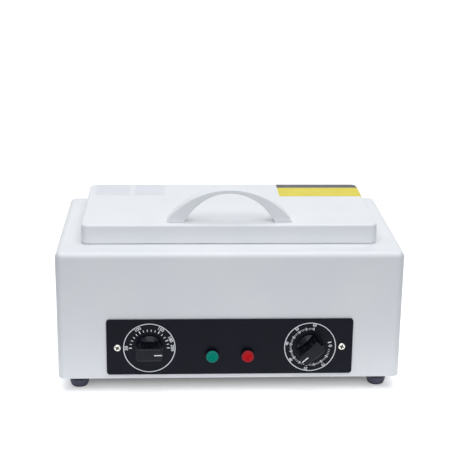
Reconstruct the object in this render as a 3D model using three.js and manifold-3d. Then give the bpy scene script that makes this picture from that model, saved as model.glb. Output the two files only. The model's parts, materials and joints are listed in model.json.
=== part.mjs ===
// Benchtop dry heat sterilizer: a steel housing with a heated tank under a hinged lid.
// Millimetres, +Z up, the control panel faces -Y. The origin lies on the bench, under the
// middle of the whole object's outline.

import * as THREE from 'three';
import { mergeVertices } from 'three/addons/utils/BufferGeometryUtils.js';
import Module from 'manifold-3d';

const wasm = await Module();
wasm.setup();

// Clearances and counts that the whole object shares
const SEAT = 0.05;
const FREE_FIT = 0.35;
const OVERRUN = 2;
const ROUND_STEPS = 20;
const SMALL_ROUND_STEPS = 8;
const MEDIUM_ROUND_STEPS = 12;
const CORNER_STEPS = 4;
const SMALL_CORNER_STEPS = 2;
const WELD = 1e-4;
const VENT_ROUND_SHARE = 0.49;
const HEAD_FACE_SHARE = 0.7;
const TAB_DROP_SHARE = 1.4;
const HEAD_SHOULDER_SHARE = 0.72;
const HEAD_RISE_SHARE = 0.88;
const RECESS_LENGTH_SHARE = 1.15;
const RECESS_WIDTH_SHARE = 0.28;
const GRIP_CORNER_SHARE = 0.25;
const LENS_BEND_SHARE = 0.3;
const LENS_CROWN_SHARE = 0.35;
const TAB_PLACE_SHARE = 0.36;
const INLET_HEIGHT_SHARE = 0.6;
const CAPILLARY_ENTRY_SHARE = 0.7;
const PILLAR_SHARE = 0.5;
const PIN_CORNER_SHARE = 0.3;
const PIN_EDGE_SHARE = 0.25;
const BLOCK_ROUND_SHARE = 0.15;
const HOLE_SPREAD_SHARE = 0.62;
const WIRE_FOOT_SHARE = 0.4;

// Housing
const WIDTH = 340;
const DEPTH = 200;
const BODY_HEIGHT = 131;
const STAND = 15.5;
const SHEET = 1;
const BEND_RADIUS = 6;
const UPRIGHT_RADIUS = 7;
const LIP_WIDTH = 26;
const BASE_PLATE_THICKNESS = 1.2;
const HOUSING_TOP = STAND + BODY_HEIGHT;
const FRONT = -DEPTH / 2;
const REAR = DEPTH / 2;
const WALL_INSIDE = REAR - SHEET;

// Vents
const VENT_WIDTH = 3;
const VENT_LENGTH = 22;
const VENT_PITCH = 9;
const REAR_VENTS = 7;
const REAR_VENT_X = 70;
const REAR_VENT_RISE = 36.5;
const REAR_VENT_Z = STAND + REAR_VENT_RISE;
const BASE_VENTS = 7;
const BASE_VENT_LENGTH = 60;

// Feet
const FOOT_SIDE_INSET = 19.5;
const FOOT_END_INSET = 22.5;
const FOOT_X = WIDTH / 2 - FOOT_SIDE_INSET;
const FOOT_Y = DEPTH / 2 - FOOT_END_INSET;
const FOOT_TOP_RADIUS = 10;
const FOOT_BOTTOM_RADIUS = 8.2;
const FOOT_EDGE_RADIUS = 2;
const FOOT_SCREW_RADIUS = 2;
const FOOT_SCREW_HEAD_RADIUS = 4;
const FOOT_SCREW_HEAD_HEIGHT = 2.6;
const FOOT_SCREW_TIP = 6;
const FOOT_RECESS_RADIUS = 5;
const FOOT_RECESS_DEPTH = 9;

// Lid
const LID_SIDE_MARGIN = 23.7;
const LID_FRONT_MARGIN = 29;
const LID_REAR_MARGIN = 18;
const LID_WIDTH = WIDTH - 2 * LID_SIDE_MARGIN;
const LID_DEPTH = DEPTH - LID_FRONT_MARGIN - LID_REAR_MARGIN;
const LID_Y = (LID_FRONT_MARGIN - LID_REAR_MARGIN) / 2;
const LID_GAP = 1.5;
const LID_WALL_HEIGHT = 18;
const LID_SHEET = 1;
const LID_CORNER = 6.5;
const LID_EDGE_RADIUS = 2.2;
const LINER_RECESS = 1.6;
const LINER_THICKNESS = 0.8;
const LINER_WALL = 7;
const BOSS_MARGIN = 12;
const BOSS_DROP = 3;
const BOSS_CORNER = 12;
const SEAL_WIDTH = 7;
const SEAL_INSET = 0.5;
const LID_BOTTOM = HOUSING_TOP + LID_GAP;

// Tank
const TANK_SIDE_MARGIN = 21.3;
const TANK_END_MARGIN = 16.5;
const TANK_WIDTH = LID_WIDTH - 2 * TANK_SIDE_MARGIN;
const TANK_DEPTH = LID_DEPTH - 2 * TANK_END_MARGIN;
const TANK_HEIGHT = 62;
const TANK_SHEET = 0.8;
const TANK_CORNER = 14;
const TANK_FLOOR_RADIUS = 7;
const TANK_FLANGE = 9;
const TANK_GAP = 1.5;
const STUD_RADIUS = 2;
const STUD_LENGTH = 9;

// Heating under the tank
const HEATER_MARGIN = 15;
const HEATER_WIDTH = TANK_WIDTH - 2 * HEATER_MARGIN;
const HEATER_DEPTH = TANK_DEPTH - 2 * HEATER_MARGIN;
const STUD_INSET = 25;
const STUD_X = HEATER_WIDTH / 2 - STUD_INSET;
const HEATER_THICKNESS = 1.6;
const HEATER_CORNER = 6;
const CLAMP_THICKNESS = 1.5;
const NUT_RADIUS = 4;
const NUT_HEIGHT = 3.2;
const NUT_SIDES = 6;
const INSULATION = 12;
const CUTOUT_RADIUS = 8;
const CUTOUT_HEIGHT = 9;
const CUTOUT_X = 30;
const CUTOUT_POCKET = 3;

// Lid handle
const HANDLE_SPAN = 125;
const HANDLE_HEIGHT = 33.1;
const HANDLE_FOOT_WIDTH = 17.7;
const HANDLE_BAR_HEIGHT = 3.7;
const HANDLE_INNER_SPAN = HANDLE_SPAN - 2 * HANDLE_FOOT_WIDTH;
const HANDLE_INNER_HEIGHT = HANDLE_HEIGHT - HANDLE_BAR_HEIGHT;
const HANDLE_GRIP_DEPTH = 14;
const HANDLE_SETBACK = 8.5;
const HANDLE_EDGE = 0.9;
const HANDLE_OUTER_SINK = 34;
const HANDLE_INNER_SINK = 33;
const HANDLE_STEPS = 20;
const HANDLE_SCREW_INSET = 5.2;
const HANDLE_SCREW_RADIUS = 2;
const HANDLE_SCREW_HEAD_RADIUS = 4;
const HANDLE_SCREW_HEAD_HEIGHT = 2.4;
const HANDLE_SCREW_LENGTH = 8;

// Hinges
const HINGE_INSET = 50.3;
const HINGE_X = LID_WIDTH / 2 - HINGE_INSET;
const HINGE_WIDTH = 42;
const HINGE_LEAF = 1.2;
const KNUCKLE_RADIUS = 3.5;
const KNUCKLES = 3;
const KNUCKLE_GAP = 0.4;
const PIN_RADIUS = 1.5;
const PIN_HEAD_RADIUS = 2.6;
const PIN_HEAD = 1;
const FIXED_LEAF_REACH = 8;
const LID_LEAF_REACH = 12;
const LEAF_CORNER = 2;
const LEAF_HOLE_RADIUS = 1.6;
const LEAF_HOLES = 2;

// Places that follow from the sizes above
const TANK_OUTSIDE_WIDTH = TANK_WIDTH + 2 * TANK_SHEET;
const TANK_OUTSIDE_DEPTH = TANK_DEPTH + 2 * TANK_SHEET;
const FLANGE_WIDTH = TANK_WIDTH + 2 * TANK_FLANGE;
const FLANGE_DEPTH = TANK_DEPTH + 2 * TANK_FLANGE;
const TANK_SEAT = HOUSING_TOP + SEAT;
const TANK_BOTTOM = TANK_SEAT - TANK_HEIGHT;
const TANK_FRONT = LID_Y - TANK_OUTSIDE_DEPTH / 2;
const HEATER_TOP = TANK_BOTTOM - SEAT;
const CLAMP_TOP = HEATER_TOP - HEATER_THICKNESS - SEAT;
const CLAMP_BOTTOM = CLAMP_TOP - CLAMP_THICKNESS;
const BLANKET_TOP = HOUSING_TOP - SHEET - SEAT;
const BLANKET_BOTTOM = CLAMP_BOTTOM - INSULATION;

// Control panel
const PANEL_SIDE_MARGIN = 48.5;
const PANEL_FOOT_MARGIN = 5.1;
const PANEL_WIDTH = WIDTH - 2 * PANEL_SIDE_MARGIN;
const PANEL_HEIGHT = 58;
const PANEL_THICKNESS = 1.5;
const PANEL_CORNER = 3;
const PANEL_Z = STAND + PANEL_FOOT_MARGIN + PANEL_HEIGHT / 2;
const PANEL_SCREW_INSET = 10.8;
const PANEL_SCREW_X = PANEL_WIDTH / 2 - PANEL_SCREW_INSET;
const PANEL_SCREW_RADIUS = 1.9;
const PANEL_SCREW_HEAD_RADIUS = 3.5;
const PANEL_SCREW_HEAD_HEIGHT = 2.3;
const PANEL_SCREW_LENGTH = 8;
const DIAL_INSET = 42.1;
const DIAL_X = PANEL_WIDTH / 2 - DIAL_INSET;
const DIAL_DROP = 0.8;
const PANEL_FACE = FRONT - SEAT - PANEL_THICKNESS;

// Knobs and their shafts
const KNOB_RADIUS = 13.6;
const KNOB_SKIRT = 5;
const KNOB_REACH = 19;
const KNOB_GAP = 0.6;
const KNOB_EDGE = 1;
const GRIP_WIDTH = 11.5;
const GRIP_LENGTH = 26;
const GRIP_TAPER = 1.2;
const KNOB_DISH = 1.6;
const KNOB_RIM = 1.6;
const SHAFT_RADIUS = 3;
const SHAFT_FLAT = 1;
const SHAFT_REACH = 15;
const SHAFT_BEARING = 6;
const TIMER_MARK_DEG = 138;
const MARK_LENGTH = 7;
const MARK_WIDTH = 1.3;
const MARK_DEPTH = 0.3;
const MARK_INSET = 0.9;

// Pilot lamps
const LAMP_X = 17.5;
const LAMP_DROP = 8.3;
const LENS_RADIUS = 6.6;
const LENS_REACH = 6.8;
const LENS_EDGE = 1.4;
const LENS_FACETS = 16;
const LENS_BORE_RADIUS = 3.9;
const LENS_BORE_DEPTH = 4;
const LAMP_BARREL_RADIUS = 5;
const LAMP_BARREL_LENGTH = 22;
const LAMP_TIP_RADIUS = 3.2;
const LAMP_COLLAR_RADIUS = 7.5;
const LAMP_COLLAR = 1.4;

// Thermostat and timer behind the panel
const THERMOSTAT_WIDTH = 44;
const THERMOSTAT_HEIGHT = 34;
const THERMOSTAT_DEPTH = 18;
const THERMOSTAT_CORNER = 3;
const THERMOSTAT_CAN_RADIUS = 13;
const THERMOSTAT_CAN_DEPTH = 7;
const BULB_RADIUS = 3;
const BULB_LENGTH = 80;
const BULB_OFFSET = 59.4;
const BULB_DROP = 40.5;
const BULB_X = BULB_OFFSET - DIAL_X;
const BULB_Z = HOUSING_TOP - BULB_DROP;
const CAPILLARY_RADIUS = 0.9;
const CAPILLARY_BEND = 8;
const CAPILLARY_STEPS = 20;
const CAPILLARY_SIDES = 5;
const BULB_CHANNEL = 8.5;
const CLIP_WIDTH = 10;
const CLIP_THICKNESS = 0.8;
const TIMER_WIDTH = 52;
const TIMER_HEIGHT = 46;
const TIMER_DEPTH = 20;
const TIMER_CORNER = 5;
const TIMER_PLATE = 1.2;
const TAB_WIDTH = 4.8;
const TAB_THICKNESS = 0.8;
const TAB_LENGTH = 6;
const BELL_RADIUS = 17;
const BELL_DEPTH = 6;
const BELL_SHEET = 1;

// Power inlet and terminal block
const INLET_INSET = 65;
const INLET_X = INLET_INSET - WIDTH / 2;
const INLET_Z = STAND + (BLANKET_BOTTOM - STAND) * INLET_HEIGHT_SHARE;
const INLET_FLANGE_WIDTH = 50;
const INLET_FLANGE_HEIGHT = 26;
const INLET_FLANGE = 2.5;
const INLET_BODY_WIDTH = 29;
const INLET_BODY_HEIGHT = 21;
const INLET_BODY_DEPTH = 21;
const INLET_MOUTH_WIDTH = 24.6;
const INLET_MOUTH_HEIGHT = 16.6;
const INLET_MOUTH_DEPTH = 17;
const INLET_CORNER = 4;
const INLET_SCREW_PITCH = 40;
const INLET_SCREW_RADIUS = 1.5;
const INLET_SCREW_HEAD_RADIUS = 2.9;
const INLET_SCREW_HEAD_HEIGHT = 1.7;
const INLET_SCREW_LENGTH = 7;
const PIN_PITCH = 14;
const PIN_WIDTH = 2;
const PIN_HEIGHT = 4;
const PIN_REACH = 14;
const PIN_EARTH_RISE = 4;
const PIN_TAIL = 6;
const BLOCK_X = -60;
const BLOCK_INSET = 40;
const BLOCK_Y = REAR - BLOCK_INSET;
const BLOCK_WIDTH = 58;
const BLOCK_DEPTH = 18;
const BLOCK_HEIGHT = 14;
const BLOCK_POLES = 5;
const BLOCK_WELL_RADIUS = 2.6;
const BLOCK_WELL_DEPTH = 8;
const LEAD_RADIUS = 1.5;
const LEAD_SIDES = 5;
const LEAD_STEPS = 14;
const LEAD_RISE = 8;
const LEAD_FALL = 12.25;
const LEAD_END_GAP = 0.5;
const BLOCK_BASE = STAND + BASE_PLATE_THICKNESS + SEAT;

// Instrument tray
const TRAY_RIM = 3;
const TRAY_GAP = 4;
const TRAY_WIDTH = TANK_WIDTH - 2 * (TRAY_RIM + TRAY_GAP);
const TRAY_DEPTH = TANK_DEPTH - 2 * (TRAY_RIM + TRAY_GAP);
const TRAY_HEIGHT = 24;
const TRAY_SHEET = 0.8;
const TRAY_CORNER = 10;
const TRAY_EDGE = 4;
const TRAY_HOLE_RADIUS = 3.2;
const TRAY_HOLE_SIDES = 6;
const TRAY_HOLE_PITCH = 25;
const TRAY_HOLE_SIDE_MARGIN = 20;
const TRAY_HOLE_END_MARGIN = 14;
const TRAY_HOLE_COLUMNS = 1 + Math.floor((TRAY_WIDTH - 2 * TRAY_HOLE_SIDE_MARGIN) / TRAY_HOLE_PITCH);
const TRAY_HOLE_ROWS = 1 + Math.floor((TRAY_DEPTH - 2 * TRAY_HOLE_END_MARGIN) / TRAY_HOLE_PITCH);
const WIRE_RADIUS = 1.5;
const WIRE_SIDES = 6;
const WIRE_INSET = 23;
const WIRE_SPAN = TRAY_DEPTH - 2 * WIRE_INSET;
const WIRE_RISE = 18;
const WIRE_BEND = 7;
const WIRE_STEPS = 20;

// Colours and finishes
function finish(color, roughness, metalness = 0) {
  return new THREE.MeshStandardMaterial({ color, roughness, metalness });
}
const paint = () => finish(0xe6e8ea, 0.45);
const blackPlate = () => finish(0x24242c, 0.35);
const blackPlastic = () => finish(0x1b1b20, 0.4);
const rubber = () => finish(0x2c2c36, 0.8);
const stainless = () => finish(0xb9bcc0, 0.3, 1);
const zinc = () => finish(0xc6c8cc, 0.35, 1);
const brass = () => finish(0xc2a25a, 0.35, 1);
const wool = () => finish(0xe0d8c0, 0.95);
const mica = () => finish(0xa89878, 0.6);
const silicone = () => finish(0xc9442f, 0.6);
const ceramic = () => finish(0xe8e4da, 0.5);

// Solids: a geometry is welded, joined or cut, and handed back as a geometry
function toSolid(geometry) {
  const bare = geometry.clone();
  bare.deleteAttribute('normal');
  bare.deleteAttribute('uv');
  const welded = mergeVertices(bare, WELD);
  const corners = Array.from(welded.index.array);
  const triVerts = [];
  for (let i = 0; i < corners.length; i += 3) {
    const [a, b, c] = corners.slice(i, i + 3);
    if (a !== b && b !== c && c !== a) triVerts.push(a, b, c);
  }
  const vertProperties = new Float32Array(welded.attributes.position.array);
  const mesh = new wasm.Mesh({ numProp: 3, vertProperties, triVerts: new Uint32Array(triVerts) });
  return new wasm.Manifold(mesh);
}

function toGeometry(solid) {
  const { vertProperties, triVerts } = solid.getMesh();
  const geometry = new THREE.BufferGeometry();
  geometry.setAttribute('position', new THREE.BufferAttribute(new Float32Array(vertProperties), 3));
  geometry.setIndex(Array.from(triVerts));
  geometry.computeVertexNormals();
  return geometry;
}

function cut(geometry, ...tools) {
  let solid = toSolid(geometry);
  for (const tool of tools) solid = solid.subtract(toSolid(tool));
  return toGeometry(solid);
}

function join(geometry, ...others) {
  let solid = toSolid(geometry);
  for (const other of others) solid = solid.add(toSolid(other));
  return toGeometry(solid);
}

function common(geometry, other) {
  return toGeometry(toSolid(geometry).intersect(toSolid(other)));
}

function sealed(geometry) {
  return toGeometry(toSolid(geometry));
}

// Basic shapes
function block(width, depth, height, x = 0, y = 0, z = 0) {
  return new THREE.BoxGeometry(width, depth, height).translate(x, y, z + height / 2);
}

function post(radius, height, x = 0, y = 0, z = 0, steps = SMALL_ROUND_STEPS) {
  const geometry = new THREE.CylinderGeometry(radius, radius, height, steps);
  return geometry.rotateX(Math.PI / 2).translate(x, y, z + height / 2);
}

// A rod along Y from one y to a larger one
function rod(radius, from, to, x = 0, z = 0, steps = SMALL_ROUND_STEPS) {
  const geometry = new THREE.CylinderGeometry(radius, radius, to - from, steps);
  return geometry.translate(x, (from + to) / 2, z);
}

// A bar along X
function bar(radius, from, to, y = 0, z = 0, steps = SMALL_ROUND_STEPS) {
  const geometry = new THREE.CylinderGeometry(radius, radius, to - from, steps);
  return geometry.rotateZ(-Math.PI / 2).translate((from + to) / 2, y, z);
}

// A profile of [radius, height] pairs, bottom to top, turned about +Z
function turned(profile, steps = ROUND_STEPS) {
  const points = profile.map(([radius, height]) => new THREE.Vector2(radius, height));
  return new THREE.LatheGeometry(points, steps).rotateX(Math.PI / 2);
}

function roundedOutline(width, depth, radius, steps = CORNER_STEPS) {
  const points = [];
  const centres = [[1, 1], [-1, 1], [-1, -1], [1, -1]];
  centres.forEach(([sx, sy], quarter) => {
    for (let i = 0; i <= steps; i += 1) {
      const angle = (quarter + i / steps) * Math.PI / 2;
      const x = sx * (width / 2 - radius) + radius * Math.cos(angle);
      const y = sy * (depth / 2 - radius) + radius * Math.sin(angle);
      points.push(new THREE.Vector2(x, y));
    }
  });
  return points;
}

// A closed solid through outlines of equal count, each at its own height, lowest first
function loft(sections) {
  const count = sections[0].outline.length;
  const positions = [];
  for (const { outline, z } of sections) {
    for (const point of outline) positions.push(point.x, point.y, z);
  }
  const index = [];
  for (let ring = 0; ring + 1 < sections.length; ring += 1) {
    for (let i = 0; i < count; i += 1) {
      const a = ring * count + i;
      const b = ring * count + (i + 1) % count;
      index.push(a, b, b + count, a, b + count, a + count);
    }
  }
  const last = (sections.length - 1) * count;
  for (let i = 1; i + 1 < count; i += 1) {
    index.push(0, i + 1, i);
    index.push(last, last + i, last + i + 1);
  }
  const geometry = new THREE.BufferGeometry();
  geometry.setAttribute('position', new THREE.Float32BufferAttribute(positions, 3));
  geometry.setIndex(index);
  return geometry;
}

function slab(width, depth, height, radius, z = 0, steps = CORNER_STEPS) {
  const outline = roundedOutline(width, depth, radius, steps);
  return loft([{ outline, z }, { outline, z: z + height }]);
}

// A block on z = 0 with rounded upright corners and a rounded top edge
function crowned(width, depth, height, corner, edge, steps = CORNER_STEPS) {
  const sections = [{ outline: roundedOutline(width, depth, corner, steps), z: 0 }];
  for (let i = 0; i <= steps; i += 1) {
    const angle = (i / steps) * Math.PI / 2;
    const inset = edge * (1 - Math.cos(angle));
    const outline = roundedOutline(width - 2 * inset, depth - 2 * inset, corner - inset, steps);
    sections.push({ outline, z: height - edge + edge * Math.sin(angle) });
  }
  return loft(sections);
}

// The same block upside down: its rounded edge is at the bottom
function dished(width, depth, height, corner, edge, steps = CORNER_STEPS) {
  return crowned(width, depth, height, corner, edge, steps).rotateX(Math.PI).translate(0, 0, height);
}

// A round wire or lead along a curve
function wire(curve, radius, sides, steps) {
  const section = new THREE.Shape();
  for (let i = 0; i < sides; i += 1) {
    const angle = (i / sides) * Math.PI * 2;
    const method = i === 0 ? 'moveTo' : 'lineTo';
    section[method](radius * Math.cos(angle), radius * Math.sin(angle));
  }
  section.closePath();
  return new THREE.ExtrudeGeometry(section, { steps, bevelEnabled: false, extrudePath: curve });
}

function part(name, geometry, material, x = 0, y = 0, z = 0) {
  const mesh = new THREE.Mesh(geometry, material);
  mesh.name = name;
  mesh.position.set(x, y, z);
  return mesh;
}

function assembly(...children) {
  const group = new THREE.Group();
  group.add(...children);
  return group;
}

const SIDES = [['left', -1], ['right', 1]];

function upright(width, height, thickness, radius, steps = SMALL_CORNER_STEPS) {
  return slab(width, height, thickness, radius, 0, steps).rotateX(Math.PI / 2);
}

// Housing: one drawn and folded shell with an inward lip that takes the base plate
const LIP_BOTTOM = BASE_PLATE_THICKNESS + SEAT;
const LIP_TOP = LIP_BOTTOM + SHEET;
const INSIDE_WIDTH = WIDTH - 2 * SHEET;
const INSIDE_DEPTH = DEPTH - 2 * SHEET;
const INSIDE_CORNER = UPRIGHT_RADIUS - SHEET;
const DIAL_Z = PANEL_Z - DIAL_DROP;
const LAMP_Z = PANEL_Z - LAMP_DROP;
const FOOT_PLACES = SIDES.flatMap(([side, sx]) => [
  [`front_${side}`, sx * FOOT_X, -FOOT_Y],
  [`rear_${side}`, sx * FOOT_X, FOOT_Y],
]);

function screwHoles(radius, height) {
  return FOOT_PLACES.map(([, x, y]) => post(radius, height, x, y, -OVERRUN));
}

// Round holes through an upright wall, for the shafts, the lamps and the panel's screws
function controlHoles(from, to) {
  const holes = SIDES.flatMap(([, sx]) => [
    rod(SHAFT_RADIUS + FREE_FIT, from, to, sx * DIAL_X, DIAL_Z),
    rod(LAMP_BARREL_RADIUS + FREE_FIT, from, to, sx * LAMP_X, LAMP_Z),
    rod(PANEL_SCREW_RADIUS + FREE_FIT, from, to, sx * PANEL_SCREW_X, PANEL_Z),
  ]);
  return holes;
}

function rearVents() {
  const vents = [];
  for (let i = 0; i < REAR_VENTS; i += 1) {
    const x = REAR_VENT_X + (i - (REAR_VENTS - 1) / 2) * VENT_PITCH;
    const slot = upright(VENT_WIDTH, VENT_LENGTH, 2 * OVERRUN + SHEET, VENT_WIDTH * VENT_ROUND_SHARE);
    vents.push(slot.translate(x, REAR + OVERRUN, REAR_VENT_Z));
  }
  return vents;
}

function housingShell() {
  const outside = crowned(WIDTH, DEPTH, BODY_HEIGHT, UPRIGHT_RADIUS, BEND_RADIUS);
  const room = crowned(
    INSIDE_WIDTH, INSIDE_DEPTH, BODY_HEIGHT - SHEET - LIP_TOP, INSIDE_CORNER, BEND_RADIUS - SHEET,
    SMALL_CORNER_STEPS,
  ).translate(0, 0, LIP_TOP);
  const recess = slab(INSIDE_WIDTH, INSIDE_DEPTH, LIP_BOTTOM + OVERRUN, INSIDE_CORNER, -OVERRUN);
  const mouth = slab(
    INSIDE_WIDTH - 2 * LIP_WIDTH, INSIDE_DEPTH - 2 * LIP_WIDTH, LIP_TOP + 2 * OVERRUN,
    INSIDE_CORNER, -OVERRUN,
  );
  const tankHole = slab(
    TANK_OUTSIDE_WIDTH + 2 * TANK_GAP, TANK_OUTSIDE_DEPTH + 2 * TANK_GAP, SHEET + 2 * OVERRUN,
    TANK_CORNER + TANK_SHEET + TANK_GAP, BODY_HEIGHT - SHEET - OVERRUN,
  ).translate(0, LID_Y, 0);
  const inletHole = block(
    INLET_BODY_WIDTH + 2 * FREE_FIT, SHEET + 2 * OVERRUN, INLET_BODY_HEIGHT + 2 * FREE_FIT,
    INLET_X, REAR, INLET_Z - INLET_BODY_HEIGHT / 2 - FREE_FIT,
  );
  const inletScrewHoles = SIDES.map(([, sx]) => rod(
    INLET_SCREW_RADIUS + FREE_FIT, WALL_INSIDE - OVERRUN, REAR + OVERRUN,
    INLET_X + sx * INLET_SCREW_PITCH / 2, INLET_Z,
  ));
  const footHoles = screwHoles(FOOT_SCREW_RADIUS + FREE_FIT, LIP_TOP + 2 * OVERRUN);
  const walls = cut(outside, room, recess, mouth, tankHole, ...footHoles);
  const frontHoles = controlHoles(FRONT - OVERRUN, FRONT + SHEET + OVERRUN);
  const through = [...frontHoles, inletHole, ...inletScrewHoles, ...rearVents()];
  return cut(walls, ...through.map((tool) => tool.translate(0, 0, -STAND)));
}

function basePlate() {
  const plate = slab(
    INSIDE_WIDTH - 2 * FREE_FIT, INSIDE_DEPTH - 2 * FREE_FIT, BASE_PLATE_THICKNESS, INSIDE_CORNER - FREE_FIT,
  );
  const slots = [];
  for (let i = 0; i < BASE_VENTS; i += 1) {
    const x = (i - (BASE_VENTS - 1) / 2) * VENT_PITCH;
    const slot = slab(
      VENT_WIDTH, BASE_VENT_LENGTH, BASE_PLATE_THICKNESS + 2 * OVERRUN,
      VENT_WIDTH * VENT_ROUND_SHARE, -OVERRUN, SMALL_CORNER_STEPS,
    );
    slots.push(slot.translate(x, 0, 0));
  }
  const footHoles = screwHoles(FOOT_SCREW_RADIUS + FREE_FIT, BASE_PLATE_THICKNESS + 2 * OVERRUN);
  return cut(plate, ...slots, ...footHoles);
}

function foot() {
  const top = STAND - SEAT;
  const bore = FOOT_SCREW_RADIUS + FREE_FIT;
  const profile = [
    [bore, FOOT_RECESS_DEPTH], [FOOT_RECESS_RADIUS, FOOT_RECESS_DEPTH], [FOOT_RECESS_RADIUS, 0],
  ];
  for (let i = 0; i <= SMALL_CORNER_STEPS; i += 1) {
    const angle = (i / SMALL_CORNER_STEPS) * Math.PI / 2;
    profile.push([
      FOOT_BOTTOM_RADIUS - FOOT_EDGE_RADIUS * (1 - Math.sin(angle)),
      FOOT_EDGE_RADIUS * (1 - Math.cos(angle)),
    ]);
  }
  profile.push([FOOT_TOP_RADIUS, top], [bore, top], [bore, FOOT_RECESS_DEPTH]);
  return sealed(turned(profile, MEDIUM_ROUND_STEPS));
}

// A screw driven upwards: its head's bearing face is at z = under, its tip at z = tip
function upwardScrew(shank, head, height, under, tip) {
  return sealed(turned([
    [0, under - height], [head * HEAD_FACE_SHARE, under - height], [head, under - height / 2],
    [head, under], [shank, under], [shank, tip - shank], [0, tip],
  ], SMALL_ROUND_STEPS));
}

function footScrew() {
  return upwardScrew(
    FOOT_SCREW_RADIUS, FOOT_SCREW_HEAD_RADIUS, FOOT_SCREW_HEAD_HEIGHT,
    FOOT_RECESS_DEPTH - SEAT, STAND + LIP_TOP + FOOT_SCREW_TIP,
  );
}

// Tank: drawn stainless pan that hangs in the housing's top by its flange
function tankShape(width, depth, height, corner, edge) {
  return dished(width, depth, height, corner, edge).translate(0, 0, -height);
}

function chamberTank() {
  const outside = tankShape(
    TANK_OUTSIDE_WIDTH, TANK_OUTSIDE_DEPTH, TANK_HEIGHT,
    TANK_CORNER + TANK_SHEET, TANK_FLOOR_RADIUS + TANK_SHEET,
  );
  const flange = slab(FLANGE_WIDTH, FLANGE_DEPTH, TANK_SHEET, TANK_CORNER + TANK_FLANGE);
  const inside = tankShape(TANK_WIDTH, TANK_DEPTH, TANK_HEIGHT + OVERRUN, TANK_CORNER, TANK_FLOOR_RADIUS)
    .translate(0, 0, OVERRUN + TANK_SHEET);
  const studs = SIDES.map(([, sx]) => post(
    STUD_RADIUS, STUD_LENGTH + TANK_SHEET / 2, sx * STUD_X, 0, -TANK_HEIGHT - STUD_LENGTH,
  ));
  return cut(join(outside, flange, ...studs), inside);
}

function heaterSheet(thickness) {
  const holes = SIDES.map(([, sx]) => post(
    STUD_RADIUS + FREE_FIT, thickness + 2 * OVERRUN, sx * STUD_X, 0, -OVERRUN,
  ));
  return cut(slab(HEATER_WIDTH, HEATER_DEPTH, thickness, HEATER_CORNER), ...holes);
}

function nut() {
  const bore = post(STUD_RADIUS + FREE_FIT, NUT_HEIGHT + 2 * OVERRUN, 0, 0, -OVERRUN);
  return cut(post(NUT_RADIUS, NUT_HEIGHT, 0, 0, 0, NUT_SIDES), bore);
}

function thermalCutout() {
  const terminals = SIDES.map(([, sx]) => block(
    CUTOUT_RADIUS / 4, CUTOUT_RADIUS / 2, CUTOUT_HEIGHT / 2,
    sx * CUTOUT_RADIUS / 2, 0, -CUTOUT_HEIGHT * TAB_DROP_SHARE,
  ));
  return join(post(CUTOUT_RADIUS, CUTOUT_HEIGHT, 0, 0, -CUTOUT_HEIGHT), ...terminals);
}

// Insulation: a blanket round the tank, with pockets for what is fixed to the tank
function tankInsulation() {
  const outside = slab(
    TANK_OUTSIDE_WIDTH + 2 * INSULATION, TANK_OUTSIDE_DEPTH + 2 * INSULATION, BLANKET_TOP - BLANKET_BOTTOM,
    TANK_CORNER + INSULATION, BLANKET_BOTTOM,
  ).translate(0, LID_Y, 0);
  const tankRoom = tankShape(
    TANK_OUTSIDE_WIDTH + 2 * FREE_FIT, TANK_OUTSIDE_DEPTH + 2 * FREE_FIT, TANK_HEIGHT + SEAT,
    TANK_CORNER + TANK_SHEET, TANK_FLOOR_RADIUS,
  ).translate(0, LID_Y, TANK_SEAT);
  const heaterRoom = slab(
    HEATER_WIDTH + 2 * FREE_FIT, HEATER_DEPTH + 2 * FREE_FIT, TANK_BOTTOM + OVERRUN - CLAMP_BOTTOM + SEAT,
    HEATER_CORNER, CLAMP_BOTTOM - SEAT,
  ).translate(0, LID_Y, 0);
  const nutRooms = SIDES.map(([, sx]) => post(
    NUT_RADIUS + 2 * FREE_FIT, INSULATION + 2 * OVERRUN, sx * STUD_X, LID_Y, BLANKET_BOTTOM - OVERRUN,
  ));
  const cutoutRoom = post(
    CUTOUT_RADIUS + CUTOUT_POCKET, INSULATION + 2 * OVERRUN,
    CUTOUT_X, LID_Y, BLANKET_BOTTOM - OVERRUN, MEDIUM_ROUND_STEPS,
  );
  const channelFrom = -DIAL_X - BULB_CHANNEL / 2;
  const channelTo = BULB_X + BULB_LENGTH / 2 + CAPILLARY_BEND;
  const channelBottom = BULB_Z - BULB_CHANNEL / 2;
  const channel = block(
    channelTo - channelFrom, BULB_CHANNEL + OVERRUN, BULB_CHANNEL,
    (channelFrom + channelTo) / 2, TANK_FRONT + (OVERRUN - BULB_CHANNEL) / 2, channelBottom,
  );
  const exit = block(
    2 * BULB_CHANNEL, INSULATION, BULB_CHANNEL,
    channelFrom + BULB_CHANNEL, TANK_FRONT - INSULATION / 2 - OVERRUN, channelBottom,
  );
  return cut(outside, tankRoom, heaterRoom, ...nutRooms, cutoutRoom, channel, exit);
}

// Control panel and its screws
function controlPanel() {
  const plate = upright(PANEL_WIDTH, PANEL_HEIGHT, PANEL_THICKNESS, PANEL_CORNER, CORNER_STEPS);
  const holes = controlHoles(FRONT - PANEL_THICKNESS - OVERRUN, FRONT + OVERRUN);
  return cut(plate.translate(0, FRONT - SEAT, PANEL_Z), ...holes);
}

function panHeadProfile(shank, length, head, height) {
  return [
    [0, -length], [shank, shank - length], [shank, SEAT], [head, SEAT],
    [head, height / 2], [head * HEAD_SHOULDER_SHARE, height * HEAD_RISE_SHARE], [0, height],
  ];
}

// Two crossed slots in a pan head, their depth and size taken from the head
function crossRecess(head, height) {
  const slot = () => block(head * RECESS_LENGTH_SHARE, head * RECESS_WIDTH_SHARE, height, 0, 0, height / 2);
  return [slot(), slot().rotateZ(Math.PI / 2)];
}

function panScrew(shank, length, head, height) {
  const solid = turned(panHeadProfile(shank, length, head, height), SMALL_ROUND_STEPS);
  return cut(solid, ...crossRecess(head, height));
}

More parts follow.
